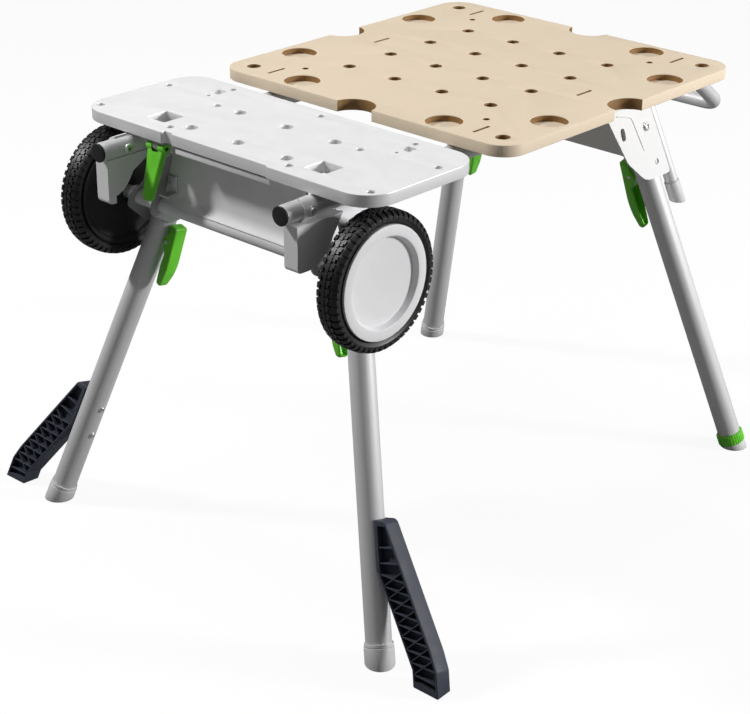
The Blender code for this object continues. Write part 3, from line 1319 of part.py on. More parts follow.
def build():
    make_board()
    make_table()
    for side, name in SIDES:
        make_rail(side, name)
        make_rail_cap(side, name)
        make_gusset(side, name)
        make_gusset_bolt(side, name)
    make_handle()
    make_axle()
    make_wheels()
    make_front_beam()
    make_rear_beam()
    for leg in LEGS:
        make_bracket(leg)
        make_pivot_bolt(leg)
        make_leg(leg)
        make_lever(leg)
        make_plunger(leg)
        if leg.adjustable:
            make_adjuster(leg)
        else:
            make_foot(leg)
        if leg.front:
            make_stabiliser(leg)
        else:
            make_stub_foot(leg)
    make_latch()
    bpy.context.view_layer.update()


build()
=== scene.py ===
import json
import math

import bmesh
import bpy
from mathutils import Matrix
from mathutils import Vector

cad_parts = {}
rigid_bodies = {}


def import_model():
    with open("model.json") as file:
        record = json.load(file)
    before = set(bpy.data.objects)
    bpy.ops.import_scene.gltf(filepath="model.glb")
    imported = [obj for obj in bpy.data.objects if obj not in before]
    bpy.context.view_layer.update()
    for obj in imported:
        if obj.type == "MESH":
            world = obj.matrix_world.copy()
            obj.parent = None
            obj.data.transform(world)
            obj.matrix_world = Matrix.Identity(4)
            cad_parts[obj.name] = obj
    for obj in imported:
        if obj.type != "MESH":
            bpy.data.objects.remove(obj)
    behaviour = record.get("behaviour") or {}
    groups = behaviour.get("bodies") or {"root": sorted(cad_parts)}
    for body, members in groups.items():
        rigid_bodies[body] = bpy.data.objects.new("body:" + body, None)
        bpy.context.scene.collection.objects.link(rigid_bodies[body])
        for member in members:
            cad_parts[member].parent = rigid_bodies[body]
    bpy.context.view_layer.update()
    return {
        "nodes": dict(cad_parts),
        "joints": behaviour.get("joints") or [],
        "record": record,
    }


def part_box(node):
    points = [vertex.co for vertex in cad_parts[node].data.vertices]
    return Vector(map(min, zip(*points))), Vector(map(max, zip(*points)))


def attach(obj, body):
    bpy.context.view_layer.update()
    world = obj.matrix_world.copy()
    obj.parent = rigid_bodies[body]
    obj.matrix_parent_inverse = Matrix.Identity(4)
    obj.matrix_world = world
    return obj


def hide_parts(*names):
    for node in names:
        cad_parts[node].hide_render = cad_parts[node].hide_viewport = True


for leftover in list(bpy.data.objects):
    bpy.data.objects.remove(leftover, do_unlink=True)

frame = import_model()
JOINTS = {joint["name"]: joint for joint in frame["joints"]}
MOUNTS = {mount["name"]: mount for mount in frame["record"]["mounts"]}
SIDES = ((-1, "left"), (1, "right"))
PLACES = ("left_front", "right_front", "left_rear", "right_rear")

# Camera: the photograph's frame and the view that was solved from it
IMAGE_WIDTH = 750
FOCAL_PIXELS = 1973.9
PRINCIPAL_X = 393.9
SENSOR = 36.0
CAMERA_PLACE = (1.9235, -2.2259, 1.5486)
CAMERA_AZIMUTH = math.radians(42.03)
CAMERA_ELEVATION = math.radians(24.79)
CAMERA_ROLL = math.radians(0.60)

# Studio
FLOOR_RADIUS = 9.0
FLOOR_Z = -0.0004
FLOOR_GLOW = 0.92
FLOOR_BOUNCE = (0.22, 0.22, 0.22, 1.0)
WHITE = (1.0, 1.0, 1.0, 1.0)
SKY_LEVELS = (0.06, 0.20)
KEY_DISTANCE = 4.0
KEY_TARGET = Vector((0.0, -0.05, 0.4))
# Each light: its name, the direction it stands in, its size and its power
KEY_LIGHTS = (("left_key", (-0.60, -0.45, 0.66), 0.45, 108.0),
              ("right_key", (0.80, 0.52, 0.30), 0.7, 140.0),
              ("top_key", (-0.10, 0.0, 1.0), 1.6, 38.0))

# Shared working values
WELD = 0.00001
SMOOTH_ANGLE = math.radians(32)
EDGE_ANGLE = math.radians(38)
FLAT_ANGLE = math.radians(0.6)
FLAT_SLOPE = 0.4
NEARLY_STRAIGHT = 0.495 * math.pi
FILLET_REACH = 0.49
ROUND_STEPS = 56
SMALL_ROUND_STEPS = 32
CORNER_STEPS = 14
GAP = 0.0003
BRIGHT_EDGE = 0.0006
HALF_TURN = math.pi
QUARTER_TURN = math.pi / 2
FULL_TURN = 2 * math.pi
X_AXIS = Vector((1.0, 0.0, 0.0))
Y_AXIS = Vector((0.0, 1.0, 0.0))
Z_AXIS = Vector((0.0, 0.0, 1.0))

# Finishes
DRIFT_SHARE = 0.65
TEXTURE_SHARE = 0.35
TONE_STOPS = (0.30, 0.52, 0.72)
ROUGH_LOW = 0.86
ROUGH_HIGH = 1.14
BUMP_DEPTH = 0.0002
PLY_LAYER = 0.0030
PLY_WANDER = 0.0008

# Tops
TOP_SOFT = 0.0011
BOARD_CORNER = 0.040
EDGE_NEAR = 0.003
GRID_PITCH = 0.096
GRID_HOLE = 0.020
CORNER_HOLE = 0.022
CORNER_HOLE_INSET = 0.0385
NOTCH_RADIUS = 0.035
NOTCH_CENTRE_OUT = 0.004
POCKET_DIAMETER = 0.056
POCKET_DEPTH = 0.010
POCKET_INSET = 0.0365
SLIT_LENGTH = 0.036
SLIT_WIDTH = 0.0050
SLIT_INSET = 0.083
SLIT_END_INSET = 0.044
SCREW_INSET = 0.084
SCREW_HOLE = 0.0061
SCREW_HEAD_HOLE = 0.0106
SCREW_SINK = 0.010
TABLE_CORNER = 0.046
TABLE_GRID_INSET = 0.044
TABLE_EDGE_INSET = 0.019
TABLE_SMALL_HOLE = 0.0128
TABLE_FRONT_HOLE_X = 0.120
TABLE_ROW_HOLE_X = 0.144
TABLE_SIDE_HOLE_INSET = 0.0205
SOCKET_SIZE = 0.039
SOCKET_CORNER = 0.0022
SOCKET_X = 0.160
SOCKET_INSET = 0.052
CATCH_POCKET = 0.018
CATCH_POCKET_CORNER = 0.0025
CATCH_POCKET_INSET = 0.042
CATCH_POCKET_X = 0.192
CATCH_POCKET_DEPTH = 0.010
CATCH_HOLE_RADIUS = 0.0030
CATCH_HOLE_IN = 0.002
CATCH_HOLE_AHEAD = 0.022
FRONT_NOTCH_X = -0.103
FRONT_NOTCH_WIDTH = 0.016
FRONT_NOTCH_DEPTH = 0.008
FRONT_RELIEF_END = 0.100
FRONT_RELIEF_DEPTH = 0.004

# Pan-head screws with a round drive recess: radius, and height above the seat
TOP_SCREW = ((0.0, 0.0010), (0.0016, 0.0010), (0.0019, 0.0029), (0.0034, 0.0028), (0.0046, 0.0014),
             (0.0047, 0.0), (0.0, 0.0))
STAB_SCREW = ((0.0, -0.0004), (0.0022, -0.0004), (0.0024, 0.0026), (0.0038, 0.0022),
              (0.0052, 0.0004), (0.0052, -0.0008), (0.0, -0.0008))
SCREW_SOFT = 0.0002

# Bolts; the last three are shares of the head's radius, the cap's radius and the head's height
BOLT_HEAD = 0.015
BOLT_HEIGHT = 0.004
BOLT_SOFT = 0.0004
BOLT_CAP = 0.76
BOLT_DRIVE = 0.45
BOLT_WASHER = 0.28
STRAP_BOLT_RADIUS = 0.003
PIVOT_BOLT_RADIUS = 0.004

# Rails, handle and the front end
RAIL_X = 0.184
RAIL_RADIUS = 0.014
RAIL_WALL = 0.0017
RAIL_BORE = RAIL_RADIUS - RAIL_WALL
PAD_WIDTH = 0.016
PAD_LENGTH = 0.030
HANDLE_RADIUS = 0.012
HANDLE_BEND_BEHIND = 0.022
HANDLE_REACH = 0.129
HANDLE_DROP = 0.083
HANDLE_PLUG = 0.060
HANDLE_CORNER = 0.030
STRAP = 0.0024
AXLE_TUBE = 0.013
AXLE_BORE = 0.0063
AXLE_RADIUS = 0.006
AXLE_COLLAR = 0.010
BEAM = 0.004
FLANGE = 0.003
FLANGE_LEFT = -0.090
FLANGE_RIGHT = 0.100
FLANGE_SETBACK = 0.007
LIP = 0.008
WEB_FILLET = 0.020
WEB_FILLET_STEPS = 10
WEB_FOOT_TURN = math.radians(62)
WEB_FOOT_Z = 0.0080

# Wheels
WHEEL_WIDTH = 0.038
RIM_RADIUS = 0.0827
DISH_INSET = 0.017
DISH_DEPTH = 0.009
COVER_DEPTH = 0.0045
HUB_RADIUS = 0.023
HUB_LENGTH = 0.016
WHEEL_WALL = 0.002
WHEEL_WEB = (0.0064, 0.012)
TYRE_RADIUS = 0.1004
TYRE_SIDE = 0.001
TYRE_SHOULDER = 0.008
TYRE_SEAT = 0.006
TYRE_SEAT_EDGE = 0.004
CROWN_FLAT = 0.0075
CROWN_FALL = 36.0
CROWN_LEVELS = (-0.0145, -0.011, -0.0075, 0.0, 0.0075, 0.011, 0.0145)
TREAD_PITCHES = 54
TREAD_DEPTH = 0.0022
TREAD_ROOT = 0.0006
TREAD_DRAFT = 0.0003
TREAD_STEPS = 3
# Blocks in one pitch of the tread: start and end along the pitch, then the span across the width
TREAD_ROWS = ((0.02, 0.46, 0.0200, 0.0276), (0.45, 0.82, 0.0200, 0.0250),
              (0.30, 0.74, 0.0108, 0.0188), (0.73, 1.10, 0.0136, 0.0188))
# A shoulder lug, from the tread round to the side wall: radius and width
SHOULDER_LUG = ((0.0950, 0.0288), (0.1000, 0.0290), (0.0988, 0.0340), (0.0955, 0.0377),
                (0.0895, 0.0377), (0.0890, 0.0360))
SHOULDER_SPAN = (0.10, 0.70)
HALF_PITCH = 0.5

# Legs and feet
LEG_RADIUS = 0.019
LEG_WALL = 0.002
LEG_BORE = LEG_RADIUS - LEG_WALL
LEG_ABOVE_PIVOT = 0.012
PIVOT_HOLE_RADIUS = 0.0043
FOOT_RADIUS = 0.02175
FOOT_SLEEVE = 0.030
FOOT_SOLE = 0.012
FOOT_BAND = 0.0055
FOOT_LIP = 0.0009
FOOT_STEP = 0.0006
GROOVE_DEPTH = 0.0013
GROOVE_HALF = 0.0005
PAD_HEIGHT = 0.0095
PAD_RADIUS = 0.021
STUD_RADIUS = 0.006
STUD_HEIGHT = 0.058
RING_HEIGHT = 0.018
RING_RADIUS = 0.0225
RING_RIDGES = 30
RIDGE_STEPS = 4
RIDGE_DEPTH = 0.0009
RIDGE_NEAR = 0.0004

# Leg brackets and the stub feet behind the rear ones
PLATE_INNER = 0.0205
PLATE_OUTER = 0.024
PLATE = 0.003
BRACKET_WEB = 0.003
REAR_WEB_STANDOFF = 0.0045
REAR_WEB_ABOVE = 0.044
# A bead on a rear bracket's outer plate, measured back and up from its pivot
BEAD = ((-0.0700, 0.0312), (-0.0339, 0.0231), (-0.0157, -0.0363))
BEAD_BEND = 0.012
BEAD_RADIUS = 0.0013
STUB_RADIUS = 0.01075
STUB_BORE = STUB_RADIUS - 0.002
STUB_FLOOR = 0.010
STUB_CAP_RADIUS = 0.0125
STUB_CAP_HEIGHT = 0.036

# Lock levers and pins; True is for a front leg
LOCK_DROP = {True: 0.030, False: 0.061}
LEVER_LENGTH = {True: 0.071, False: 0.094}
LEVER_ARM = 0.020
LEVER_PIVOT_OUT = 0.010
LEVER_WIDTH = 0.025
LEVER_FORK = 0.0085
LEVER_FORK_ABOVE = 0.0085
LEVER_GRIP = 0.017
LEVER_STANDOFF = 0.013
LEVER_FRONT = 0.0195
LEVER_BOSS = 0.015
LEVER_WALL = 0.0026
LEVER_BACK_WALL = LEVER_WALL + 0.0008
LEVER_HOOD = 0.0103
LEVER_HOOD_ROUND = 0.004
LEVER_FORK_ROUND = 0.001
LEVER_HOLLOW_ROUNDS = (0.003, 0.05, 0.003, 0.0, 0.0)
LEVER_WAIST = 0.0045
LEVER_BELLY = 0.15
LEVER_BELLY_SHARE = 0.55
LEVER_POCKET = 0.0083
LEVER_ROOF = 0.0017
LEVER_PIN = 0.006
# The share of the width that a grip loses towards its tip, and the power that sets how late
LEVER_TAPER = ((0.22, 2), (0.35, 10))
LUG = 0.0086
LUG_RADIUS = 0.009
LUG_CLEARANCE = 0.0018
PLUNGER = 0.008
PLUNGER_NOSE = 0.001
PLUNGER_SHORT = 0.0006
PLUNGER_COLLAR = 0.011
PLUNGER_COLLAR_LENGTH = 0.0018

# Stabilisers, measured up from the foot and out from the leg's axis
STAB_HEIGHT = 0.205
STAB_TOP_OUT = 0.036
STAB_FOOT_IN = 0.0705
STAB_FOOT_OUT = 0.114
STAB_KNEE = 0.027
STAB_KNEE_OUT = 0.1064
STAB_LEAVE = 0.130
STAB_BEND = 0.020
STAB_TOP_ROUND = 0.010
STAB_KNEE_ROUND = 0.060
STAB_DEPTH = 0.028
STAB_LIFT = 0.0012
STAB_FRAME = 0.0032
STAB_TOP_FRAME = 2.5 * STAB_FRAME
STAB_LOW_FRAME = 2.4 * STAB_FRAME
STAB_RIB = 0.0018
STAB_RIB_LOW = 0.0008
STAB_RIB_SHORT = 0.001
STAB_CROSS_RIBS = (0.167, 0.145)
STAB_LATTICE = 9
STAB_LATTICE_TOP = 0.130
STAB_LATTICE_STEP = 0.0170
STAB_LATTICE_FALL = 0.012
STAB_RECESS = 0.017
STAB_RECESS_STEPS = 24
STAB_SCREWS = (0.185, 0.1355)

# Latch
LATCH_TILT = math.radians(17)
LATCH_HALF_TOP = 0.0185
LATCH_HALF_TIP = 0.0095
LATCH_RISE = 0.004
LATCH_LENGTH = 0.080
LATCH_THICK = 0.010
LATCH_TOP_ROUND = 0.003
LATCH_TIP_ROUND = 0.8 * LATCH_HALF_TIP
LATCH_BOSS = 0.0075
LATCH_SLOT_HALF = 0.0132 / 2
LATCH_SLOT_FLOOR = 0.0078
LATCH_SLOT_REACH = 0.015


def move(x=0.0, y=0.0, z=0.0):
    return Matrix.Translation((x, y, z))


def axes(x_axis, y_axis, z_axis, origin=(0.0, 0.0, 0.0)):
    """A placing matrix whose columns are the three given directions."""
    turn = Matrix((x_axis, y_axis, z_axis)).transposed()
    return Matrix.Translation(origin) @ turn.to_4x4()


FACING_FRONT = axes(X_AXIS, Z_AXIS, -Y_AXIS)
ALONG_Y = axes(Z_AXIS, X_AXIS, Y_AXIS)


def along_x(side):
    return Matrix.Rotation(side * QUARTER_TURN, 4, "Y")


# Mesh helpers

def placed(name, data):
    """A new object, put into the scene."""
    obj = bpy.data.objects.new(name, data)
    bpy.context.scene.collection.objects.link(obj)
    return obj


def opened(mesh):
    work = bmesh.new()
    work.from_mesh(mesh)
    return work


def from_work(work, mesh=None):
    """Closes a working mesh into the given mesh, or into a new one."""
    if mesh is None:
        mesh = bpy.data.meshes.new("form")
    work.to_mesh(mesh)
    work.free()
    return mesh


def welded(work):
    """Welds a working mesh and points its faces outwards."""
    bmesh.ops.remove_doubles(work, verts=work.verts, dist=WELD)
    bmesh.ops.recalc_face_normals(work, faces=work.faces)
    return work


def smoothed(mesh):
    """Shades the round stretches of a mesh smooth."""
    mesh.shade_smooth()
    mesh.set_sharp_from_angle(angle=SMOOTH_ANGLE)
    return mesh


def evaluated(carrier):
    """The mesh that a curve or a modified object makes; the carrier is removed."""
    depsgraph = bpy.context.evaluated_depsgraph_get()
    mesh = bpy.data.meshes.new_from_object(carrier.evaluated_get(depsgraph))
    bpy.data.objects.remove(carrier, do_unlink=True)
    return mesh


def from_curve(loops, cyclic, **settings):
    """The mesh of a curve through lists of points, made with the given settings."""
    curve = bpy.data.curves.new("outline", "CURVE")
    for key, value in settings.items():
        setattr(curve, key, value)
    for loop in loops:
        spline = curve.splines.new("POLY")
        spline.points.add(len(loop) - 1)
        for point, place in zip(spline.points, loop):
            point.co = (*place, 1.0)
        spline.use_cyclic_u = cyclic
    mesh = evaluated(placed("outline", curve))
    return smoothed(from_work(welded(opened(mesh)), mesh))


def slab(loops, thickness, soft=0.0, steps=2):
    """A flat outline with holes, extruded evenly either side of its plane, with softened edges."""
    flat = [[(x, y, 0.0) for x, y in loop] for loop in loops]
    return from_curve(flat, True, dimensions="2D", fill_mode="BOTH", extrude=thickness / 2 - soft,
                      bevel_depth=soft, bevel_resolution=steps, offset=-soft)


def bent_tube(path, radius):
    """A round bar along a list of points."""
    return from_curve([path], False, dimensions="3D", fill_mode="FULL", bevel_depth=radius,
                      bevel_resolution=10, use_fill_caps=True)


def fillet(before, corner, after, radius, steps):
    """Points along an arc that rounds one corner."""
    back = (before - corner).normalized()
    ahead = (after - corner).normalized()
    half = back.angle(ahead) / 2
    if radius <= 0.0 or half > NEARLY_STRAIGHT:
        return [corner]
    room = FILLET_REACH * min((before - corner).length, (after - corner).length)
    reach = min(radius / math.tan(half), room)
    bow = reach * math.tan(half)
    centre = corner + (back + ahead).normalized() * bow / math.sin(half)
    first = (corner + back * reach - centre).normalized()
    last = (corner + ahead * reach - centre).normalized()
    return [centre + first.slerp(last, i / steps) * bow for i in range(steps + 1)]


def rounded(points, radii, steps=6):
    """A closed outline whose corners are arcs of the given radii."""
    corners = [Vector(p) for p in points]
    outline = []
    for i, corner in enumerate(corners):
        outline += fillet(corners[i - 1], corner, corners[(i + 1) % len(corners)], radii[i], steps)
    return [tuple(p) for p in outline]


def rounded_path(points, radius, steps=3):
    """An open path whose inner corners are arcs."""
    places = [Vector(p) for p in points]
    path = [places[0]]
    for i in range(1, len(places) - 1):
        path += fillet(places[i - 1], places[i], places[i + 1], radius, steps)
    return path + [places[-1]]


def turned(profile, soft=0.0, steps=ROUND_STEPS, closed=False):
    """A profile of (radius, height) points turned about Z, its corners softened."""
    if closed:
        points = [Vector(p) for p in rounded(profile, [soft] * len(profile), 3)]
        points.append(points[0])
    else:
        points = rounded_path(profile, soft)
    work = bmesh.new()
    verts = [work.verts.new((max(p.x, 0.0), 0.0, p.y)) for p in points]
    edges = [work.edges.new(pair) for pair in zip(verts, verts[1:])]
    bmesh.ops.spin(work, geom=verts + edges, axis=Z_AXIS, cent=(0.0, 0.0, 0.0), angle=FULL_TURN,
                   steps=steps, use_merge=True)
    return smoothed(from_work(welded(work)))


def stepped(levels, radii, soft=0.0, steps=SMALL_ROUND_STEPS):
    """A solid turned about Z with one radius between each level and the next."""
    profile = [(0.0, levels[0])]
    for radius, start, end in zip(radii, levels, levels[1:]):
        profile += [(radius, start), (radius, end)]
    return turned(profile + [(0.0, levels[-1])], soft, steps)


def pipe(outer, inner, low, high, soft=BRIGHT_EDGE, steps=ROUND_STEPS):
    """A straight tube along Z."""
    profile = [(outer, high), (outer, low), (inner, low), (inner, high)]
    return turned(profile, soft, steps, closed=True)


def softened_edges(work, soft, segments=2):
    edges = [e for e in work.edges if len(e.link_faces) == 2 and e.calc_face_angle() > EDGE_ANGLE]
    bmesh.ops.bevel(work, geom=edges, offset=soft, offset_type="OFFSET", segments=segments,
                    profile=0.5, affect="EDGES", clamp_overlap=True)


def block(low, high, soft=BRIGHT_EDGE):
    """A box between two corners with rounded edges."""
    size = [b - a for a, b in zip(low, high)]
    middle = [(a + b) / 2 for a, b in zip(low, high)]
    work = bmesh.new()
    bmesh.ops.create_cube(work, size=1.0, matrix=move(*middle) @ Matrix.Diagonal((*size, 1.0)))
    softened_edges(work, soft)
    return smoothed(from_work(work))


def prism(sides, radius, low, high, soft):
    """A straight-sided bar along Z, such as a nut."""
    work = bmesh.new()
    bmesh.ops.create_cone(work, cap_ends=True, segments=sides, radius1=radius, radius2=radius,
                          depth=high - low, matrix=move(z=(low + high) / 2))
    softened_edges(work, soft)
    return smoothed(from_work(work))


def joined(pieces):
    """One mesh of several solids, each given with its placing matrix."""
    whole = bmesh.new()
    for mesh, matrix in pieces:
        copy = mesh.copy()
        copy.transform(matrix)
        whole.from_mesh(copy)
        bpy.data.meshes.remove(copy)
    return smoothed(from_work(whole))


def merged(*meshes):
    """One mesh of several solids that are already in place."""
    return joined([(mesh, Matrix()) for mesh in meshes])


def carved(mesh, *cutters):
    """A mesh with others cut out of it in turn; cut faces keep the cutter's material."""
    for cutter in cutters:
        target = placed("target", mesh)
        tool = placed("tool", cutter)
        boolean = target.modifiers.new("cut", "BOOLEAN")
        boolean.operation = "DIFFERENCE"
        boolean.object = tool
        boolean.material_mode = "TRANSFER"
        mesh = smoothed(evaluated(target))
        bpy.data.objects.remove(tool, do_unlink=True)
    return mesh


def levelled(mesh, matrix, level, soft=0.0008):
    """A placed mesh cut flat below a level, its new edge softened."""
    mesh.transform(matrix)
    work = opened(mesh)
    geom = list(work.verts) + list(work.edges) + list(work.faces)
    bmesh.ops.bisect_plane(work, geom=geom, plane_co=(0.0, 0.0, level), plane_no=(0.0, 0.0, -1.0),
                           clear_outer=True)
    rim = [e for e in work.edges if e.is_boundary]
    bmesh.ops.holes_fill(work, edges=rim)
    softened = [e for e in rim if e.is_valid and len(e.link_faces) == 2]
    bmesh.ops.bevel(work, geom=softened, offset=soft, offset_type="OFFSET", segments=2, profile=0.5,
                    affect="EDGES")
    from_work(work, mesh)
    mesh.transform(matrix.inverted())
    return smoothed(mesh)


def refined(node, soft, segments=2):
    """A copy of a solid's mesh with its flats merged and its sharp edges rounded."""
    mesh = frame["nodes"][node].data.copy()
    work = opened(mesh)
    bmesh.ops.remove_doubles(work, verts=work.verts, dist=WELD)
    bmesh.ops.dissolve_limit(work, angle_limit=FLAT_ANGLE, verts=work.verts, edges=work.edges)
    softened_edges(work, soft, segments)
    bmesh.ops.recalc_face_normals(work, faces=work.faces)
    from_work(work, mesh)
    mesh.materials.clear()
    carrier = placed("flats", smoothed(mesh))
    carrier.modifiers.new("flats", "WEIGHTED_NORMAL").keep_sharp = True
    return evaluated(carrier)


def show(name, mesh, coat, body="frame", nodes=(), matrix=Matrix()):
    """A visible piece that moves with a body and stands for the given solids.

    A drawn tube keeps its own axes, so that its grain follows it.
    """
    along_piece = coat == TUBE
    if coat:
        mesh.materials.clear()
        mesh.materials.append(coat)
    mesh.name = name
    if not along_piece:
        mesh.transform(matrix)
    obj = placed(name, mesh)
    if along_piece:
        obj.matrix_world = matrix
    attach(obj, body)
    if nodes:
        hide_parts(*nodes)


def circle(x, y, diameter, steps=SMALL_ROUND_STEPS):
    turns = [FULL_TURN * i / steps for i in range(steps)]
    return [(x + diameter / 2 * math.cos(a), y + diameter / 2 * math.sin(a)) for a in turns]


def four_ways(x, y):
    return [(x, y), (-x, y), (-x, -y), (x, -y)]


# Materials

class Graph:
    """A node tree with short calls for adding and linking nodes."""

    def __init__(self, tree):
        self.nodes = tree.nodes
        self.links = tree.links

    def add(self, kind, inputs, **settings):
        node = self.nodes.new(kind)
        for key, value in settings.items():
            setattr(node, key, value)
        for key, value in inputs.items():
            self.feed(node.inputs[key], value)
        return node

    def feed(self, socket, value):
        if isinstance(value, bpy.types.NodeSocket):
            self.links.new(value, socket)
        else:
            socket.default_value = value

    def place(self, scale):
        """Object coordinates, stretched by one scale or by one for each axis."""
        coords = self.nodes.new("ShaderNodeTexCoord").outputs["Object"]
        each = scale if isinstance(scale, tuple) else (scale, scale, scale)
        return self.add("ShaderNodeMapping", {"Vector": coords, "Scale": each}).outputs[0]

    def noise(self, scale, detail=4.0, roughness=0.55):
        inputs = {"Vector": self.place(scale), "Scale": 1.0, "Detail": detail,
                  "Roughness": roughness}
        return self.add("ShaderNodeTexNoise", inputs).outputs["Fac"]

    def height(self, source):
        """The height in one kind of texture coordinates."""
        coords = self.add("ShaderNodeTexCoord", {})
        return self.add("ShaderNodeSeparateXYZ", {0: coords.outputs[source]}).outputs["Z"]

    def seen(self):
        """One for what the camera sees directly, else nought."""
        return self.add("ShaderNodeLightPath", {}).outputs["Is Camera Ray"]

    def ramp(self, factor, stops):
        node = self.add("ShaderNodeValToRGB", {"Fac": factor})
        elements = node.color_ramp.elements
        while len(elements) < len(stops):
            elements.new(0.5)
        for element, (place, colour) in zip(elements, stops):
            element.position = place
            element.color = (*colour, 1.0)
        return node.outputs["Color"]

    def span(self, factor, low, high, start=0.3, end=0.7):
        inputs = {"Value": factor, "From Min": start, "From Max": end, "To Min": low,
                  "To Max": high}
        return self.add("ShaderNodeMapRange", inputs).outputs["Result"]

    def math(self, operation, first, second):
        return self.add("ShaderNodeMath", {0: first, 1: second}, operation=operation).outputs[0]

    def bump(self, height, strength, distance):
        inputs = {"Height": height, "Strength": strength, "Distance": distance}
        return self.add("ShaderNodeBump", inputs).outputs["Normal"]

    def mix(self, share, first, second):
        return self.add("ShaderNodeMixShader", {0: share, 1: first, 2: second}).outputs[0]


def new_material(name):
    """A material, the calls for its node tree and its Principled shader's inputs."""
    made = bpy.data.materials.new(name)
    made.use_nodes = True
    graph = Graph(made.node_tree)
    return made, graph, graph.nodes["Principled BSDF"].inputs


def shaded(colour, share):
    return tuple(min(1.0, c * share) for c in colour)


def finish(name, colour, roughness, metallic, spread, grain, fine, bump, **constants):
    """A Principled material whose colour and roughness drift along a grain, over a fine bump."""
    made, graph, inputs = new_material(name)
    drift = graph.noise(grain)
    texture = graph.noise(fine, 3.0)
    blend = graph.math("ADD", graph.math("MULTIPLY", drift, DRIFT_SHARE),
                       graph.math("MULTIPLY", texture, TEXTURE_SHARE))
    tones = (shaded(colour, 1.0 - spread), colour, shaded(colour, 1.0 + spread))
    rough = graph.span(blend, roughness * ROUGH_LOW, min(1.0, roughness * ROUGH_HIGH))
    graph.feed(inputs["Base Color"], graph.ramp(blend, list(zip(TONE_STOPS, tones))))
    graph.feed(inputs["Roughness"], rough)
    graph.feed(inputs["Normal"], graph.bump(texture, bump, BUMP_DEPTH))
    inputs["Metallic"].default_value = metallic
    for key, value in constants.items():
        inputs[key.replace("_", " ")].default_value = value
    made.diffuse_color = (*colour, 1.0)
    return made


def plywood_edge(name, pale, dark):
    """Thin pale and tan layers stacked through the board's thickness, painted paler than the
    board's face as painted light on its sides.
    """
    made, graph, inputs = new_material(name)
    height = graph.height("Object")
    wander = graph.math("MULTIPLY", graph.noise((30, 30, 120)), PLY_WANDER)
    layers = graph.math("MULTIPLY", graph.math("ADD", height, wander), FULL_TURN / PLY_LAYER)
    wave = graph.math("MULTIPLY", graph.math("SINE", layers, 0.0), 0.5)
    grain = graph.noise((160, 160, 900))
    blend = graph.math("ADD", graph.math("ADD", wave, 0.5), graph.math("SUBTRACT", grain, 0.5))
    colour = graph.ramp(blend, [(0.10, dark), (0.45, pale), (0.95, shaded(pale, 1.04))])
    graph.feed(inputs["Base Color"], colour)
    graph.feed(inputs["Roughness"], graph.span(grain, 0.50, 0.68))
    graph.feed(inputs["Normal"], graph.bump(blend, 0.15, 0.0003))
    return made


# Each finish: name, colour, roughness, metallic, spread of tone, grain, fine grain and bump
PLY_FACE = finish("birch_face", (0.740, 0.621, 0.470), 0.66, 0.0, 0.014, (120, 7, 40),
                  (900, 60, 300), 0.04, Specular_IOR_Level=0.2)
# The board's sides: the face's tone painted paler, a painted brightening that stands in for the
# light on them
PLY_EDGE_LIT = plywood_edge("birch_layers", (0.83, 0.70, 0.53), (0.77, 0.63, 0.46))
# Cut walls: a dark brown that is partly the burnt tone of routing and partly painted shade in the
# holes, pockets and scoops
PLY_CUT_SHADED = finish("birch_cut", (0.27, 0.145, 0.045), 0.62, 0.0, 0.25, (90, 90, 260),
                 (700, 700, 1500), 0.1)
CAST = finish("cast_aluminium", (0.815, 0.815, 0.815), 0.55, 0.05, 0.02, 35, (1400, 160, 900), 0.05,
              Specular_IOR_Level=0.3)
CAST_EDGE = finish("milled_aluminium", (0.84, 0.84, 0.84), 0.36, 0.25, 0.06, (14, 14, 1300),
                   (60, 60, 2600), 0.12)
TUBE_ALONG_Y = finish("drawn_rail", (0.66, 0.66, 0.67), 0.52, 0.30, 0.04, (160, 5, 160),
                      (1500, 40, 1500), 0.05)
TUBE_PLAIN = finish("bent_tube", (0.66, 0.66, 0.67), 0.52, 0.30, 0.03, 60, 900, 0.04)
TUBE = finish("drawn_aluminium", (0.72, 0.72, 0.73), 0.52, 0.30, 0.04, (160, 160, 5),
              (1500, 1500, 40), 0.05)
GREY = finish("grey_powder_coat", (0.38, 0.38, 0.39), 0.46, 0.25, 0.05, 30, 1600, 0.16)
# Grey steel painted pale for the cross tube and rear web: a lit copy of the grey finish above, a
# painted brightening that stands in for light on parts in shade
PALE_LIT_GREY = finish("light_powder_coat", (0.82, 0.82, 0.83), 0.50, 0.0, 0.04, 30, 1600, 0.14)
BRIGHT = finish("zinc_steel", (0.70, 0.70, 0.71), 0.30, 0.65, 0.08, 120, 1800, 0.06)
PLATE_FINISH = finish("pale_powder_coat", (0.81, 0.81, 0.81), 0.62, 0.0, 0.025, 28, 1600, 0.14)
BLACK = finish("black_moulding", (0.040, 0.045, 0.066), 0.62, 0.0, 0.22, 45, 1900, 0.25)
JET = finish("jet_moulding", (0.007, 0.007, 0.008), 0.52, 0.0, 0.2, 45, 1900, 0.2)
RUBBER = finish("tread_rubber", (0.012, 0.012, 0.012), 0.46, 0.0, 0.25, 70, 1500, 0.30)
SILVER = finish("silver_moulding", (0.82, 0.82, 0.83), 0.40, 0.0, 0.02, 40, 1700, 0.06)
GREEN = finish("green_moulding", (0.155, 0.670, 0.030), 0.38, 0.0, 0.10, 50, 1700, 0.12,
               Coat_Weight=0.15)
PALE = finish("pale_moulding", (0.66, 0.66, 0.66), 0.50, 0.0, 0.035, 45, 1700, 0.16)
BOARD_FINISHES = (PLY_FACE, PLY_EDGE_LIT, PLY_CUT_SHADED)
TABLE_FINISHES = (CAST, CAST_EDGE)


# Leg frames: local Z runs up the leg, local X is the fold axis and points to the right

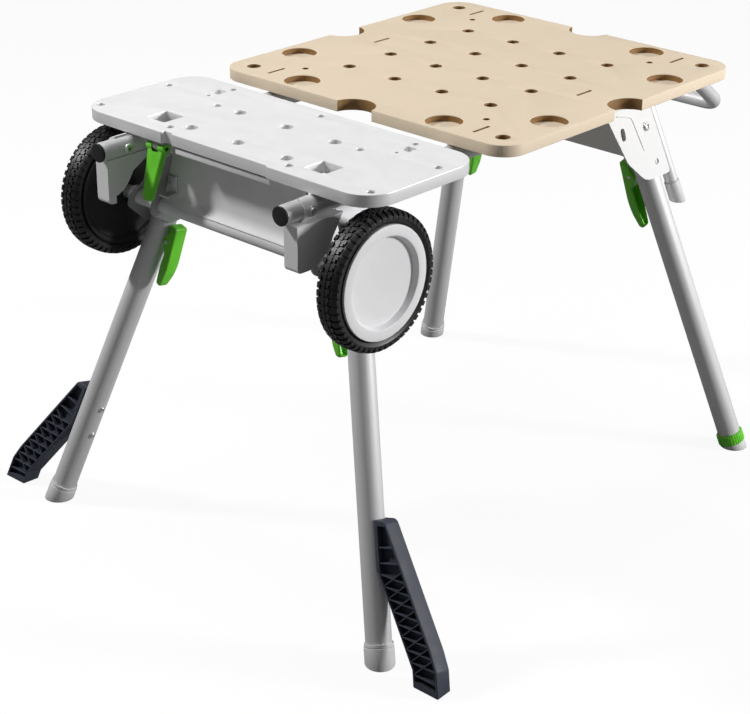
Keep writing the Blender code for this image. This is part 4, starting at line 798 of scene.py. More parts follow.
class Leg:
    """Where one leg pivots and how it leans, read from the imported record."""

    def __init__(self, name):
        self.name = name
        self.body = name + "_support"
        self.front = name.endswith("front")
        self.pivot = Vector(JOINTS[name + "_fold"]["pos_m"])
        foot = Vector(MOUNTS[name + "_sole"]["pos_m"])
        self.side = 1 if self.pivot.x > 0 else -1
        self.length = (self.pivot - foot).length
        self.up = (self.pivot - foot).normalized()
        self.axis = Vector((self.up.z, 0.0, -self.up.x)).normalized()
        self.across = self.up.cross(self.axis)
        self.rise = self.axis.cross(Y_AXIS)
        self.matrix = axes(self.axis, self.across, self.up, self.pivot)
        self.plate_matrix = axes(self.axis, Y_AXIS, self.rise, self.pivot)
        self.pin = self.matrix.inverted() @ Vector(JOINTS[name + "_release"]["pos_m"])
        self.adjustable = self.side > 0 and not self.front
        outward = X_AXIS - X_AXIS.dot(self.up) * self.up
        self.square_turn = math.atan2(outward.dot(self.across), outward.dot(self.axis))

    def plate_x(self, out, z):
        """How far from the middle a bracket plate lies at a level z."""
        height = (z - self.pivot.z - self.side * out * self.axis.z) / self.rise.z
        point = self.pivot + self.side * out * self.axis + height * self.rise
        return self.side * point.x

    def tube_end(self):
        """How far below its pivot the tube ends."""
        if self.adjustable:
            return self.length - PAD_HEIGHT - RING_HEIGHT - 3 * GAP
        return self.length - FOOT_SOLE


LEGS = [Leg(name) for name in PLACES]


# Tops

BOARD_LOW, BOARD_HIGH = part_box("wood_board")
BOARD_MIDDLE = (BOARD_LOW + BOARD_HIGH) / 2
BOARD_HALF = (BOARD_HIGH - BOARD_LOW) / 2
TABLE_LOW, TABLE_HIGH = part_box("alu_table")
TABLE_HALF = (TABLE_HIGH.x - TABLE_LOW.x) / 2
TABLE_DEPTH = TABLE_HIGH.y - TABLE_LOW.y
UNDERSIDE = BOARD_LOW.z
THICKNESS = BOARD_HIGH.z - UNDERSIDE
RAIL_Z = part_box("left_rail")[0].z + RAIL_RADIUS
AXLE = Vector(JOINTS["right_wheel_spin"]["pos_m"])
REST_Z = AXLE.z - (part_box("right_tyre")[1].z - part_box("right_tyre")[0].z) / 2


def painted(mesh, finishes, choose):
    """Gives each face of a mesh one of several finishes."""
    mesh.materials.clear()
    for each in finishes:
        mesh.materials.append(each)
    for face in mesh.polygons:
        face.material_index = choose(face.normal, face.center)
    return mesh


def board_outline():
    """A round-cornered board with a scoop in the middle of each edge."""
    outline = []
    half_sizes = (BOARD_HALF.x, BOARD_HALF.y)
    start = math.asin(NOTCH_CENTRE_OUT / NOTCH_RADIUS)
    sweep = HALF_TURN - 2 * start
    for quarter in range(4):
        heading = quarter * QUARTER_TURN
        along = Vector((math.cos(heading), math.sin(heading)))
        inward = Vector((-along.y, along.x))
        half_across = half_sizes[(quarter + 1) % 2]
        half_along = half_sizes[quarter % 2]
        for i in range(SMALL_ROUND_STEPS + 1):
            angle = HALF_TURN - start - sweep * i / SMALL_ROUND_STEPS
            rise = NOTCH_RADIUS * math.sin(angle) - NOTCH_CENTRE_OUT - half_across
            outline.append(tuple(along * NOTCH_RADIUS * math.cos(angle) + inward * rise))
        centre = along * (half_along - BOARD_CORNER) + inward * (BOARD_CORNER - half_across)
        for i in range(CORNER_STEPS + 1):
            angle = heading - QUARTER_TURN + QUARTER_TURN * i / CORNER_STEPS
            out = Vector((math.cos(angle), math.sin(angle)))
            outline.append(tuple(centre + BOARD_CORNER * out))
    return outline


def board_face(normal, centre):
    """The finish of one face of the board: flat, outer edge or cut wall, whose dark brown is partly
    painted shade.
    """
    if abs(normal.z) > FLAT_SLOPE:
        return 0
    x_in = BOARD_HALF.x - abs(centre.x)
    y_in = BOARD_HALF.y - abs(centre.y)
    if abs(centre.x) < NOTCH_RADIUS or abs(centre.y) < NOTCH_RADIUS:
        return 2
    if max(x_in, y_in) < BOARD_CORNER:
        reach = math.hypot(BOARD_CORNER - x_in, BOARD_CORNER - y_in)
        return 1 if reach > BOARD_CORNER - EDGE_NEAR else 2
    return 1 if min(x_in, y_in) < EDGE_NEAR else 2


def flat_or(wall):
    """Chooses the first finish for flat faces and the given one for walls."""
    return lambda normal, centre: 0 if abs(normal.z) > FLAT_SLOPE else wall


def screw_wells(places):
    """Cutters that sink the screw heads into a top."""
    well = stepped((-SCREW_SINK, SCREW_SINK), (SCREW_HEAD_HOLE / 2,))
    return [(well, move(x, y, THICKNESS / 2)) for x, y in places]


def show_screws(name, places, where):
    """The screws of a top, each standing on the floor of its well."""
    screw = turned(TOP_SCREW, SCREW_SOFT, SMALL_ROUND_STEPS)
    heads = [(screw, move(x, y, THICKNESS / 2 - SCREW_SINK)) for x, y in places]
    show(name, joined(heads), BRIGHT, matrix=where)


def make_board():
    places = [GRID_PITCH * (i - 1.5) for i in range(4)]
    loops = [board_outline()]
    loops += [circle(x, y, GRID_HOLE) for x in places for y in places]
    corners = four_ways(BOARD_HALF.x - CORNER_HOLE_INSET, BOARD_HALF.y - CORNER_HOLE_INSET)
    loops += [circle(x, y, CORNER_HOLE) for x, y in corners]
    screws = four_ways(RAIL_X, BOARD_HALF.y - SCREW_INSET)
    loops += [circle(x, y, SCREW_HOLE) for x, y in screws]
    # The outer sides take the layers painted paler, a painted brightening
    board = painted(slab(loops, THICKNESS, TOP_SOFT), BOARD_FINISHES, board_face)
    radius = POCKET_DIAMETER / 2
    mouth = radius + TOP_SOFT
    pocket = turned([(0.0, -POCKET_DEPTH), (radius, -POCKET_DEPTH), (radius, -TOP_SOFT),
                     (mouth, TOP_SOFT / 4), (mouth, POCKET_DEPTH), (0.0, POCKET_DEPTH)])
    slit_half = (SLIT_WIDTH / 2, SLIT_LENGTH / 2, 2 * THICKNESS)
    slit = block([-h for h in slit_half], slit_half, SLIT_WIDTH / 8)
    outer = places[-1]
    pockets = four_ways(outer, BOARD_HALF.y - POCKET_INSET)
    pockets += four_ways(BOARD_HALF.x - POCKET_INSET, outer)
    slit_x = BOARD_HALF.x - SLIT_INSET
    slits = four_ways(slit_x, BOARD_HALF.y - SLIT_END_INSET) + [(slit_x, 0.0), (-slit_x, 0.0)]
    sunk = [(pocket, move(x, y, THICKNESS / 2)) for x, y in pockets]
    sunk += screw_wells(screws)
    sunk += [(slit, move(x, y)) for x, y in slits]
    # The cutters' walls take the dark brown that is partly painted shade
    cutter = painted(joined(sunk), BOARD_FINISHES, flat_or(2))
    where = move(*BOARD_MIDDLE)
    show("board", carved(board, cutter), None, nodes=["wood_board"], matrix=where)
    show_screws("board_screws", screws, where)


def table_outline():
    """The table's outline from its front middle, with a notch and a relief along its front edge."""
    notch_left = FRONT_NOTCH_X - FRONT_NOTCH_WIDTH / 2
    notch_right = FRONT_NOTCH_X + FRONT_NOTCH_WIDTH / 2
    points = [(-TABLE_HALF, 0.0), (notch_left, 0.0), (notch_left, FRONT_NOTCH_DEPTH),
              (notch_right, FRONT_NOTCH_DEPTH), (notch_right, FRONT_RELIEF_DEPTH),
              (FRONT_RELIEF_END, FRONT_RELIEF_DEPTH), (FRONT_RELIEF_END, 0.0), (TABLE_HALF, 0.0),
              (TABLE_HALF, TABLE_DEPTH), (-TABLE_HALF, TABLE_DEPTH)]
    radii = [TABLE_CORNER] + [FRONT_RELIEF_DEPTH / 2] * 6 + [TABLE_CORNER] * 3
    return rounded(points, radii, CORNER_STEPS)


def square_loop(x, y, size, radius):
    half = size / 2
    points = [(x - half, y - half), (x + half, y - half), (x + half, y + half),
              (x - half, y + half)]
    return rounded(points, [radius] * 4)


def make_table():
    row = TABLE_GRID_INSET
    rear = TABLE_DEPTH - TABLE_EDGE_INSET
    front = row - TABLE_EDGE_INSET
    second = row + GRID_PITCH
    loops = [table_outline()]
    columns = (-GRID_PITCH, 0.0, GRID_PITCH)
    loops += [circle(x, y, GRID_HOLE) for y in (row, second) for x in columns]
    side = TABLE_HALF - TABLE_SIDE_HOLE_INSET
    pairs = [(side, second + TABLE_EDGE_INSET), (side, front), (TABLE_ROW_HOLE_X, second),
             (TABLE_FRONT_HOLE_X, front)]
    small = [(0.0, rear)] + pairs + [(-x, y) for x, y in pairs]
    loops += [circle(x, y, TABLE_SMALL_HOLE) for x, y in small]
    screws = [(RAIL_X, rear), (-RAIL_X, rear)]
    loops += [circle(x, y, SCREW_HOLE) for x, y in screws]
    for socket_x in (-SOCKET_X, SOCKET_X):
        loops.append(square_loop(socket_x, SOCKET_INSET, SOCKET_SIZE, SOCKET_CORNER))
    table = painted(slab(loops, THICKNESS, TOP_SOFT), TABLE_FINISHES, flat_or(1))
    level = THICKNESS / 2
    sunk = screw_wells(screws)
    pocket_y = TABLE_DEPTH - CATCH_POCKET_INSET
    pocket_loop = square_loop(0.0, 0.0, CATCH_POCKET, CATCH_POCKET_CORNER)
    pocket = slab([pocket_loop], 2 * CATCH_POCKET_DEPTH)
    hole = stepped((-CATCH_POCKET_DEPTH, CATCH_POCKET_DEPTH), (CATCH_HOLE_RADIUS,))
    hole_x = CATCH_POCKET_X - CATCH_HOLE_IN
    for turn in (-1, 1):
        sunk.append((pocket, move(turn * CATCH_POCKET_X, pocket_y, level)))
        sunk.append((hole, move(turn * hole_x, pocket_y - CATCH_HOLE_AHEAD, level)))
    cutter = painted(joined(sunk), TABLE_FINISHES, flat_or(1))
    where = move(0.0, TABLE_LOW.y, (TABLE_LOW.z + TABLE_HIGH.z) / 2)
    show("table", carved(table, cutter), None, nodes=["alu_table"], matrix=where)
    show_screws("table_screws", screws, where)


# Rails, handle and front supports

def make_rails():
    screw = BOARD_HALF.y - SCREW_INSET
    seats = [BOARD_MIDDLE.y - screw, BOARD_MIDDLE.y + screw, TABLE_HIGH.y - TABLE_EDGE_INSET]
    half = PAD_WIDTH / 2
    low = math.sqrt(RAIL_RADIUS ** 2 - half ** 2) - RAIL_WALL
    pad = block((-half, -PAD_LENGTH / 2, low), (half, PAD_LENGTH / 2, UNDERSIDE - GAP - RAIL_Z))
    for side, name in SIDES:
        front, rear = [corner.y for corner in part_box(name + "_rail")]
        pieces = [(pipe(RAIL_RADIUS, RAIL_BORE, front, rear), ALONG_Y)]
        pieces += [(pad, move(y=y)) for y in seats]
        where = move(side * RAIL_X, 0.0, RAIL_Z)
        show(name + "_rail_tube", joined(pieces), TUBE_ALONG_Y,
             nodes=[name + "_rail"], matrix=where)
        tip, plug_end = [corner.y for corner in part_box(name + "_rail_cap")]
        radii = (RAIL_BORE - GAP, RAIL_RADIUS)
        cap = stepped((plug_end, front - GAP, tip), radii, 0.0009, ROUND_STEPS)
        show(name + "_rail_plug", cap, JET, nodes=[name + "_rail_cap"],
             matrix=where @ ALONG_Y)


def make_handle():
    """A bar bent into a loop, with both ends plugged into the rails."""
    side = [(RAIL_X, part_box("left_rail")[1].y - HANDLE_PLUG, RAIL_Z),
            (RAIL_X, BOARD_HIGH.y + HANDLE_BEND_BEHIND, RAIL_Z),
            (RAIL_X, BOARD_HIGH.y + HANDLE_REACH, RAIL_Z - HANDLE_DROP)]
    other = [(-x, y, z) for x, y, z in reversed(side)]
    path = rounded_path(side + other, HANDLE_CORNER, 12)
    show("handle", bent_tube(path, HANDLE_RADIUS), TUBE_PLAIN,
         nodes=["loop_handle"])


def bolt_form(shank, outside, inside):
    """A cap screw with a washer outside and a hexagonal nut inside, along Z."""
    washer = BOLT_HEAD / 2
    cap = washer * BOLT_CAP
    top = outside + BOLT_HEIGHT
    end = inside - BOLT_HEIGHT
    levels = (top - BOLT_HEIGHT / 2, top, outside + BOLT_HEIGHT * BOLT_WASHER, outside, end)
    screw = stepped(levels, (cap * BOLT_DRIVE, cap, washer, shank), BOLT_SOFT)
    return merged(screw, prism(6, washer, end, inside, BOLT_SOFT))


def make_gussets():
    for side, name in SIDES:
        node = name + "_gusset"
        show(name + "_front_support", refined(node, 0.0012), PLATE_FINISH,
             nodes=[node])
        low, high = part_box(name + "_gusset_bolt")
        bolt = bolt_form(STRAP_BOLT_RADIUS, RAIL_RADIUS + STRAP + 2 * GAP, -RAIL_RADIUS - GAP)
        where = move(side * RAIL_X, ((low + high) / 2).y, RAIL_Z) @ along_x(side)
        show(name + "_strap_bolt", bolt, BRIGHT, nodes=[name + "_gusset_bolt"],
             matrix=where)


# Wheels and axle

def lofted(work, rows):
    """Skins a row of closed sections and caps both ends."""
    rings = [[work.verts.new(point) for point in row] for row in rows]
    for near, far in zip(rings, rings[1:]):
        for k in range(len(near)):
            work.faces.new((near[k - 1], near[k], far[k], far[k - 1]))
    work.faces.new(reversed(rings[0]))
    work.faces.new(rings[-1])


def tread_block(work, start, end, section):
    """One raised block of the tread: a section of (radius, width) points swept through an angle."""
    angles = [start + (end - start) * i / TREAD_STEPS for i in range(TREAD_STEPS + 1)]
    lofted(work, [[(r * math.cos(a), r * math.sin(a), z) for r, z in section] for a in angles])


def tread_sections():
    """Every block in one pitch of the tread: its span along the pitch and its section."""
    root = TYRE_RADIUS - TREAD_DEPTH - TREAD_ROOT
    sections = []
    for first, last, low, high in TREAD_ROWS:
        section = [(root, low), (root, high), (crown(high), high - TREAD_DRAFT),
                   (crown(low), low + TREAD_DRAFT)]
        sections.append((first, last, section))
    first, last = SHOULDER_SPAN
    sections.append((first, last, SHOULDER_LUG))
    inner = [(r, WHEEL_WIDTH - z) for r, z in reversed(SHOULDER_LUG)]
    sections.append((first + HALF_PITCH, last + HALF_PITCH, inner))
    return sections


def crown(z):
    """The tyre's outer radius at a width z: flat in the middle, falling off at the shoulders."""
    off = max(0.0, abs(z - WHEEL_WIDTH / 2) - CROWN_FLAT)
    return TYRE_RADIUS - off * off * CROWN_FALL


def make_tyre():
    rim = RIM_RADIUS + GAP
    seat = rim + TYRE_SEAT
    middle = WHEEL_WIDTH / 2
    low = TYRE_SIDE
    high = WHEEL_WIDTH - TYRE_SIDE
    wall = TYRE_RADIUS - TYRE_SHOULDER
    profile = [(crown(middle + off) - TREAD_DEPTH, middle + off) for off in CROWN_LEVELS]
    profile += [(wall, high), (seat, high), (rim, high - TYRE_SEAT_EDGE),
                (rim, low + TYRE_SEAT_EDGE), (seat, low), (wall, low)]
    carcass = turned(profile, 0.0012, 2 * ROUND_STEPS, closed=True)
    work = bmesh.new()
    pitch = FULL_TURN / TREAD_PITCHES
    sections = tread_sections()
    for i in range(TREAD_PITCHES):
        for first, last, section in sections:
            tread_block(work, (i + first) * pitch, (i + last) * pitch, section)
    bmesh.ops.recalc_face_normals(work, faces=work.faces)
    return merged(carcass, from_work(work))


def make_wheels():
    """Profiles run from the wheel's inner side at nought to its cover at the full width."""
    rim = RIM_RADIUS
    dish = rim - DISH_INSET
    back = WHEEL_WIDTH - COVER_DEPTH
    face = WHEEL_WIDTH - DISH_DEPTH
    edge = rim - 0.001
    seam = back - GAP
    wall = WHEEL_WALL
    cover_profile = [(0.0, face), (dish - 0.0030, face), (dish + 0.0008, WHEEL_WIDTH),
                     (edge, WHEEL_WIDTH), (edge, back), (dish + 2 * wall, back),
                     (dish, face - wall), (0.0, face - wall)]
    hub = HUB_RADIUS
    sleeve = hub - wall
    web_low, web_high = WHEEL_WEB
    body_profile = [(rim, seam), (rim, wall), (rim - 0.006, wall), (rim - 0.010, web_low),
                    (hub, web_low), (sleeve, 0.0), (AXLE_BORE, 0.0), (AXLE_BORE, HUB_LENGTH),
                    (sleeve, HUB_LENGTH), (hub, web_high), (dish - wall, web_high),
                    (dish + 0.001, face - wall - 2 * GAP), (dish + 0.005, seam)]
    tyre = make_tyre()
    cover = turned(cover_profile, 0.0011, 2 * ROUND_STEPS)
    body = turned(body_profile, 0.0008, 2 * ROUND_STEPS, closed=True)
    for side, name in SIDES:
        wheel = name + "_wheel"
        where = move(*JOINTS[wheel + "_spin"]["pos_m"]) @ along_x(side)
        show(name + "_tread", tyre.copy(), RUBBER, wheel, [name + "_tyre"], where)
        show(wheel + "_body", body.copy(), JET, wheel, [name + "_rim"], where)
        show(wheel + "_cover", cover.copy(), SILVER, wheel,
             [name + "_hub_cover"], where)


def make_axle():
    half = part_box("axle_tube")[1].x
    across = move(0.0, AXLE.y, AXLE.z) @ along_x(1)
    tube = pipe(AXLE_TUBE, AXLE_BORE, -half, half, 0.0009)
    # The cross tube takes the grey painted pale, a painted brightening
    show("cross_tube", tube, PALE_LIT_GREY, nodes=["axle_tube"], matrix=across)
    levels = [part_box("wheel_axle")[1].x, abs(AXLE.x) - GAP, half + GAP]
    radii = (AXLE_RADIUS, AXLE_COLLAR, AXLE_RADIUS, AXLE_COLLAR, AXLE_RADIUS)
    axle = stepped(levels + [-level for level in reversed(levels)], radii, 0.0006)
    show("axle_bar", axle, BRIGHT, nodes=["wheel_axle"], matrix=across)


def swept(section, widths):
    """A section in Y and Z drawn out along X, with its own half width at each point."""
    work = bmesh.new()
    lofted(work, [[(side * w, y, z) for (y, z), w in zip(section, widths)] for side in (-1, 1)])
    bmesh.ops.recalc_face_normals(work, faces=work.faces)
    return smoothed(from_work(work))


def make_beams():
    """The front web flows into the cross tube; flange and lip lie under the table's front edge."""
    right_front = LEGS[1]
    inner_face = -(PLATE_INNER + PLATE + GAP)
    top = UNDERSIDE - GAP
    knee = RAIL_Z - RAIL_RADIUS
    near = AXLE.y - BEAM / 2
    far = AXLE.y + BEAM / 2
    low = AXLE.z + AXLE_TUBE + GAP
    arc_start = AXLE.z + WEB_FOOT_Z + WEB_FILLET * math.sin(WEB_FOOT_TURN)
    section = [(far, low), (far, knee), (far, top), (near, top), (near, knee)]
    for i in range(WEB_FILLET_STEPS + 1):
        turn = WEB_FOOT_TURN * i / WEB_FILLET_STEPS
        section.append((near - WEB_FILLET * (1 - math.cos(turn)),
                        arc_start - WEB_FILLET * math.sin(turn)))
    levels = [max(low, min(z, knee)) for y, z in section]
    web = swept(section, [right_front.plate_x(inner_face, level) for level in levels])
    front = TABLE_LOW.y + FLANGE_SETBACK
    flange_low = top - FLANGE
    flange = block((FLANGE_LEFT, front, flange_low), (FLANGE_RIGHT, AXLE.y, top - GAP), 0.0008)
    lip = block((FLANGE_LEFT, front, flange_low - LIP),
                (FLANGE_RIGHT, front + FLANGE, top - GAP), 0.0008)
    show("front_web", merged(web, flange, lip), PLATE_FINISH, nodes=["front_beam"])
    # The rear web takes the grey painted pale, a painted brightening
    show("rear_web", refined("rear_beam", 0.0008), PALE_LIT_GREY, nodes=["rear_beam"])


# Legs and what they carry

def make_bracket(leg):
    node = leg.name + "_bracket"
    coat, slot = (GREY, "grey_steel") if leg.front else (PLATE_FINISH, "white_plate")
    show(leg.name + "_hanger", refined(node, 0.0007), coat, nodes=[node])
    if not leg.front:
        path = rounded_path([(0.0, y, w) for y, w in BEAD], BEAD_BEND, 5)
        show(leg.name + "_bead", bent_tube(path, BEAD_RADIUS), coat,
             matrix=leg.plate_matrix @ move(leg.side * (PLATE_OUTER + PLATE)))
    bolt = bolt_form(PIVOT_BOLT_RADIUS, PLATE_OUTER + PLATE + GAP, -(PLATE_INNER + PLATE + GAP))
    show(leg.name + "_pivot", bolt, BRIGHT, nodes=[leg.name + "_pivot_bolt"],
         matrix=leg.matrix @ along_x(leg.side))


def make_leg(leg):
    """A tube with an ear and a cross pin for its lock lever."""
    root = -leg.side * (LEG_RADIUS - LEG_WALL / 2)
    tip = leg.pin.x - leg.side * LUG_RADIUS
    low = leg.pin.z - LUG_RADIUS
    high = leg.pin.z + LUG_RADIUS
    points = [(root, low), (tip, low), (tip, high), (root, high)]
    ear = slab([rounded(points, [0, LUG_RADIUS, LUG_RADIUS, 0], 10)], LUG, 0.0005)
    reach = LEVER_WIDTH / 2 + 3 * GAP
    pin = stepped((-reach, reach), (LEVER_PIN / 2,), 0.0004)
    tube = pipe(LEG_RADIUS, LEG_BORE, -leg.tube_end(), LEG_ABOVE_PIVOT)
    bores = [((PLUNGER + 2 * GAP) / 2, -LOCK_DROP[leg.front]), (PIVOT_HOLE_RADIUS, 0.0)]
    for radius, z in bores:
        bore = stepped((-2 * LEG_RADIUS, 2 * LEG_RADIUS), (radius,))
        bore.transform(move(z=z) @ along_x(1))
        tube = carved(tube, bore)
    pieces = [(tube, Matrix()), (pin, move(*leg.pin) @ ALONG_Y), (ear, FACING_FRONT)]
    show(leg.name + "_tube", joined(pieces), TUBE, leg.body, [leg.name + "_leg"],
         leg.matrix)
    if leg.adjustable:
        make_adjuster(leg)
    else:
        make_foot(leg)


def make_foot(leg):
    """A sleeve with a groove round it, cut level with the floor."""
    bore = LEG_RADIUS + GAP
    high = -leg.length + FOOT_SLEEVE
    low = -leg.length - FOOT_RADIUS
    seat = -leg.tube_end() - GAP
    line = high - FOOT_BAND
    groove = FOOT_RADIUS - GROOVE_DEPTH
    profile = [(0.0, seat), (bore, seat), (bore, high), (FOOT_RADIUS - FOOT_LIP, high),
               (FOOT_RADIUS - FOOT_STEP, line + FOOT_STEP), (groove, line + GROOVE_HALF),
               (groove, line - GROOVE_HALF), (FOOT_RADIUS, line - FOOT_STEP),
               (FOOT_RADIUS, low), (0.0, low)]
    sleeve = levelled(turned(profile, 0.0003), leg.matrix, 0.0)
    show(leg.name + "_sleeve", sleeve, PALE, leg.body, [leg.name + "_foot"],
         leg.matrix)


def make_adjuster(leg):
    """A ridged ring that screws a pad in and out at the end of one leg."""
    base = -leg.length
    pad_high = base + PAD_HEIGHT
    levels = (base + STUD_HEIGHT, pad_high, base - PAD_RADIUS)
    pad = stepped(levels, (STUD_RADIUS, PAD_RADIUS), 0.0008, ROUND_STEPS)
    sole = levelled(pad, leg.matrix, 0.0)
    show("levelling_pad", sole, PALE, "foot_pad", ["adjuster_pad"], leg.matrix)
    low = pad_high + GAP
    steps = RIDGE_STEPS * RING_RIDGES
    ring = pipe(RING_RADIUS, STUD_RADIUS + GAP, low, low + RING_HEIGHT, 0.0018, steps)
    for vertex in ring.vertices:
        across = math.hypot(vertex.co.x, vertex.co.y)
        count = round(math.atan2(vertex.co.y, vertex.co.x) / FULL_TURN * steps)
        if across > RING_RADIUS - RIDGE_NEAR and count % RIDGE_STEPS == 0:
            vertex.co.x *= 1.0 - RIDGE_DEPTH / across
            vertex.co.y *= 1.0 - RIDGE_DEPTH / across
    show("levelling_ring", smoothed(ring), GREEN, "foot_ring", ["adjuster_ring"],
         leg.matrix)


def leaf(mesh, length):
    """Narrows a lever's grip towards a rounded tip."""
    for vertex in mesh.vertices:
        share = min(1.0, max(0.0, (-LEVER_FRONT - vertex.co.z) / (length - LEVER_FRONT)))
        vertex.co.y *= math.prod(1.0 - loss * share ** power for loss, power in LEVER_TAPER)
    return smoothed(mesh)


def make_lever(leg):
    """A forked lever whose grip is a leaf-shaped channel open towards the leg."""
    length = LEVER_LENGTH[leg.front]
    near = LEVER_PIVOT_OUT - LEVER_STANDOFF
    far = near - LEVER_GRIP
    half_fork = LEVER_FORK / 2
    boss = LEVER_BOSS / 2
    fork_top = LEVER_ARM + LEVER_FORK_ABOVE
    heel = far + LEVER_GRIP / 3
    toe = near - LEVER_GRIP / 8
    belly = -LEVER_BELLY_SHARE * length
    points = [(-LEVER_HOOD, fork_top), (far, belly), (heel, -length), (toe, -length), (near, belly),
              (near, -LEVER_FRONT), (boss, -boss / 2), (boss, boss / 2), (half_fork, boss),
              (half_fork, fork_top)]
    bend = LEVER_GRIP / 3
    radii = [LEVER_HOOD_ROUND, LEVER_BELLY, bend, bend, LEVER_BELLY / 3, bend, bend, bend / 2,
             LEVER_FORK_ROUND, LEVER_FORK_ROUND]
    blade = slab([[(leg.side * x, z) for x, z in rounded(points, radii)]], LEVER_WIDTH, 0.0030, 4)
    blade.transform(FACING_FRONT)
    slot = LUG / 2 + GAP
    lug = LUG_RADIUS + LUG_CLEARANCE
    collar = PLUNGER_COLLAR / 2 + LUG_CLEARANCE
    roof = fork_top - LEVER_ROOF
    pocket = -leg.side * LEVER_POCKET
    lug_room = block((-lug, -slot, -lug), (lug, slot, lug), 0.0005)
    low_x, high_x = sorted((pocket, leg.side * lug))
    shank_room = block((low_x, -slot, 0.0), (high_x, slot, roof), 0.0004)
    low_x, high_x = sorted((pocket, -leg.side * half_fork))
    collar_room = block((low_x, -collar, LEVER_ARM - collar), (high_x, collar, roof), 0.0004)
    hollow_top = -LEVER_FRONT - LEVER_WALL
    hollow_low = -length + LEVER_WALL
    mouth = near + LEVER_GRIP
    hollow = [(far + LEVER_WAIST + LEVER_BACK_WALL, hollow_top), (far + LEVER_BACK_WALL, belly),
              (heel + LEVER_BACK_WALL, hollow_low), (mouth, hollow_low), (mouth, hollow_top)]
    loop = [(leg.side * x, z) for x, z in rounded(hollow, LEVER_HOLLOW_ROUNDS)]
    channel = slab([loop], LEVER_WIDTH - 2 * LEVER_WALL)
    hole = stepped((-LEVER_WIDTH, LEVER_WIDTH), (LEVER_PIN / 2 + GAP,))
    hollows = joined([(channel, FACING_FRONT), (hole, ALONG_Y)])
    blade = carved(blade, collar_room, lug_room, shank_room, hollows)
    show(leg.name + "_handle", leaf(blade, length), GREEN,
         leg.name + "_lock_lever", [leg.name + "_lever"], leg.matrix @ move(*leg.pin))


def make_plunger(leg):
    """A lock pin whose collar stands behind the lever's fork."""
    collar_front = -(LEG_RADIUS + LEVER_PIVOT_OUT + LEVER_FORK / 2) - 2 * GAP
    collar_back = collar_front - PLUNGER_COLLAR_LENGTH
    nose = PLATE_OUTER - PLUNGER_SHORT
    shank = PLUNGER / 2
    collar = PLUNGER_COLLAR / 2
    profile = [(0.0, nose), (shank - PLUNGER_NOSE, nose), (shank, nose - PLUNGER_NOSE),
               (shank, collar_front), (collar, collar_front), (collar, collar_back),
               (0.0, collar_back)]
    pin = turned(profile, 0.0004, SMALL_ROUND_STEPS)
    show(leg.name + "_pin", pin, BRIGHT, leg.name + "_lock_pin",
         [leg.name + "_plunger"],
         leg.matrix @ move(z=-LOCK_DROP[leg.front]) @ along_x(leg.side))


def make_stub(leg):
    """A short capped tube behind a rear bracket, level with the bottom of the wheels."""
    x = PLATE_OUTER - GAP - STUB_RADIUS
    y = LEG_RADIUS + REAR_WEB_STANDOFF + BRACKET_WEB + GAP + STUB_RADIUS
    foot = leg.matrix @ move(leg.side * x, y)
    low = -(foot.translation.z - REST_Z) / leg.up.z
    tube_low = low + STUB_FLOOR
    tube = pipe(STUB_RADIUS, STUB_BORE, tube_low, REAR_WEB_ABOVE)
    show(leg.name + "_stub", tube, TUBE, nodes=[leg.name + "_stub_tube"],
         matrix=foot)
    levels = (tube_low - GAP, low + STUB_CAP_HEIGHT, low - 2 * STUB_CAP_RADIUS)
    cap = stepped(levels, (STUB_RADIUS + GAP, STUB_CAP_RADIUS), 0.0007, ROUND_STEPS)
    show(leg.name + "_stub_foot", levelled(cap, foot, REST_Z), PALE,
         nodes=[leg.name + "_stub_cap"], matrix=foot)


def stab_inner(height):
    share = min(1.0, max(0.0, (STAB_LEAVE - height) / STAB_LEAVE))
    return LEG_RADIUS + (STAB_FOOT_IN - LEG_RADIUS) * share


def stab_outer(height):
    if height >= STAB_KNEE:
        share = (STAB_HEIGHT - height) / (STAB_HEIGHT - STAB_KNEE)
        return STAB_TOP_OUT + (STAB_KNEE_OUT - STAB_TOP_OUT) * share
    share = min(1.0, (STAB_KNEE - height) / STAB_KNEE)
    return STAB_KNEE_OUT + (STAB_FOOT_OUT - STAB_KNEE_OUT) * share


def stab_sole(leg, out):
    """The height on the stabiliser's face where it meets the floor."""
    return -leg.side * leg.axis.z * out / leg.up.z


def stab_ribs():
    """Two plain ribs near the top and a crossed lattice below them, across the recess."""
    depth = STAB_RECESS - STAB_RIB_SHORT
    level = (STAB_DEPTH - depth) / 2 - STAB_RIB_LOW
    inner = [STAB_LATTICE_TOP - STAB_LATTICE_STEP * k for k in range(STAB_LATTICE)]
    pairs = [(h, h) for h in STAB_CROSS_RIBS]
    pairs += [(h, h - STAB_LATTICE_FALL) for h in inner]
    pairs += [(low, high - STAB_LATTICE_FALL) for high, low in zip(inner, inner[2:])]
    pairs.append((inner[1], STAB_LATTICE_TOP + STAB_LATTICE_STEP - STAB_LATTICE_FALL))
    ribs = []
    for inside, outside in pairs:
        start = stab_inner(inside) + STAB_FRAME / 2
        end = stab_outer(outside) - STAB_FRAME / 2
        run = Vector((end - start, outside - inside))
        half = (run.length / 2, STAB_RIB / 2, depth / 2)
        rib = block([-h for h in half], half, STAB_RIB / 4)
        middle = move((start + end) / 2, (inside + outside) / 2, level)
        ribs.append((rib, middle @ Matrix.Rotation(math.atan2(run.y, run.x), 4, "Z")))
    return joined(ribs)


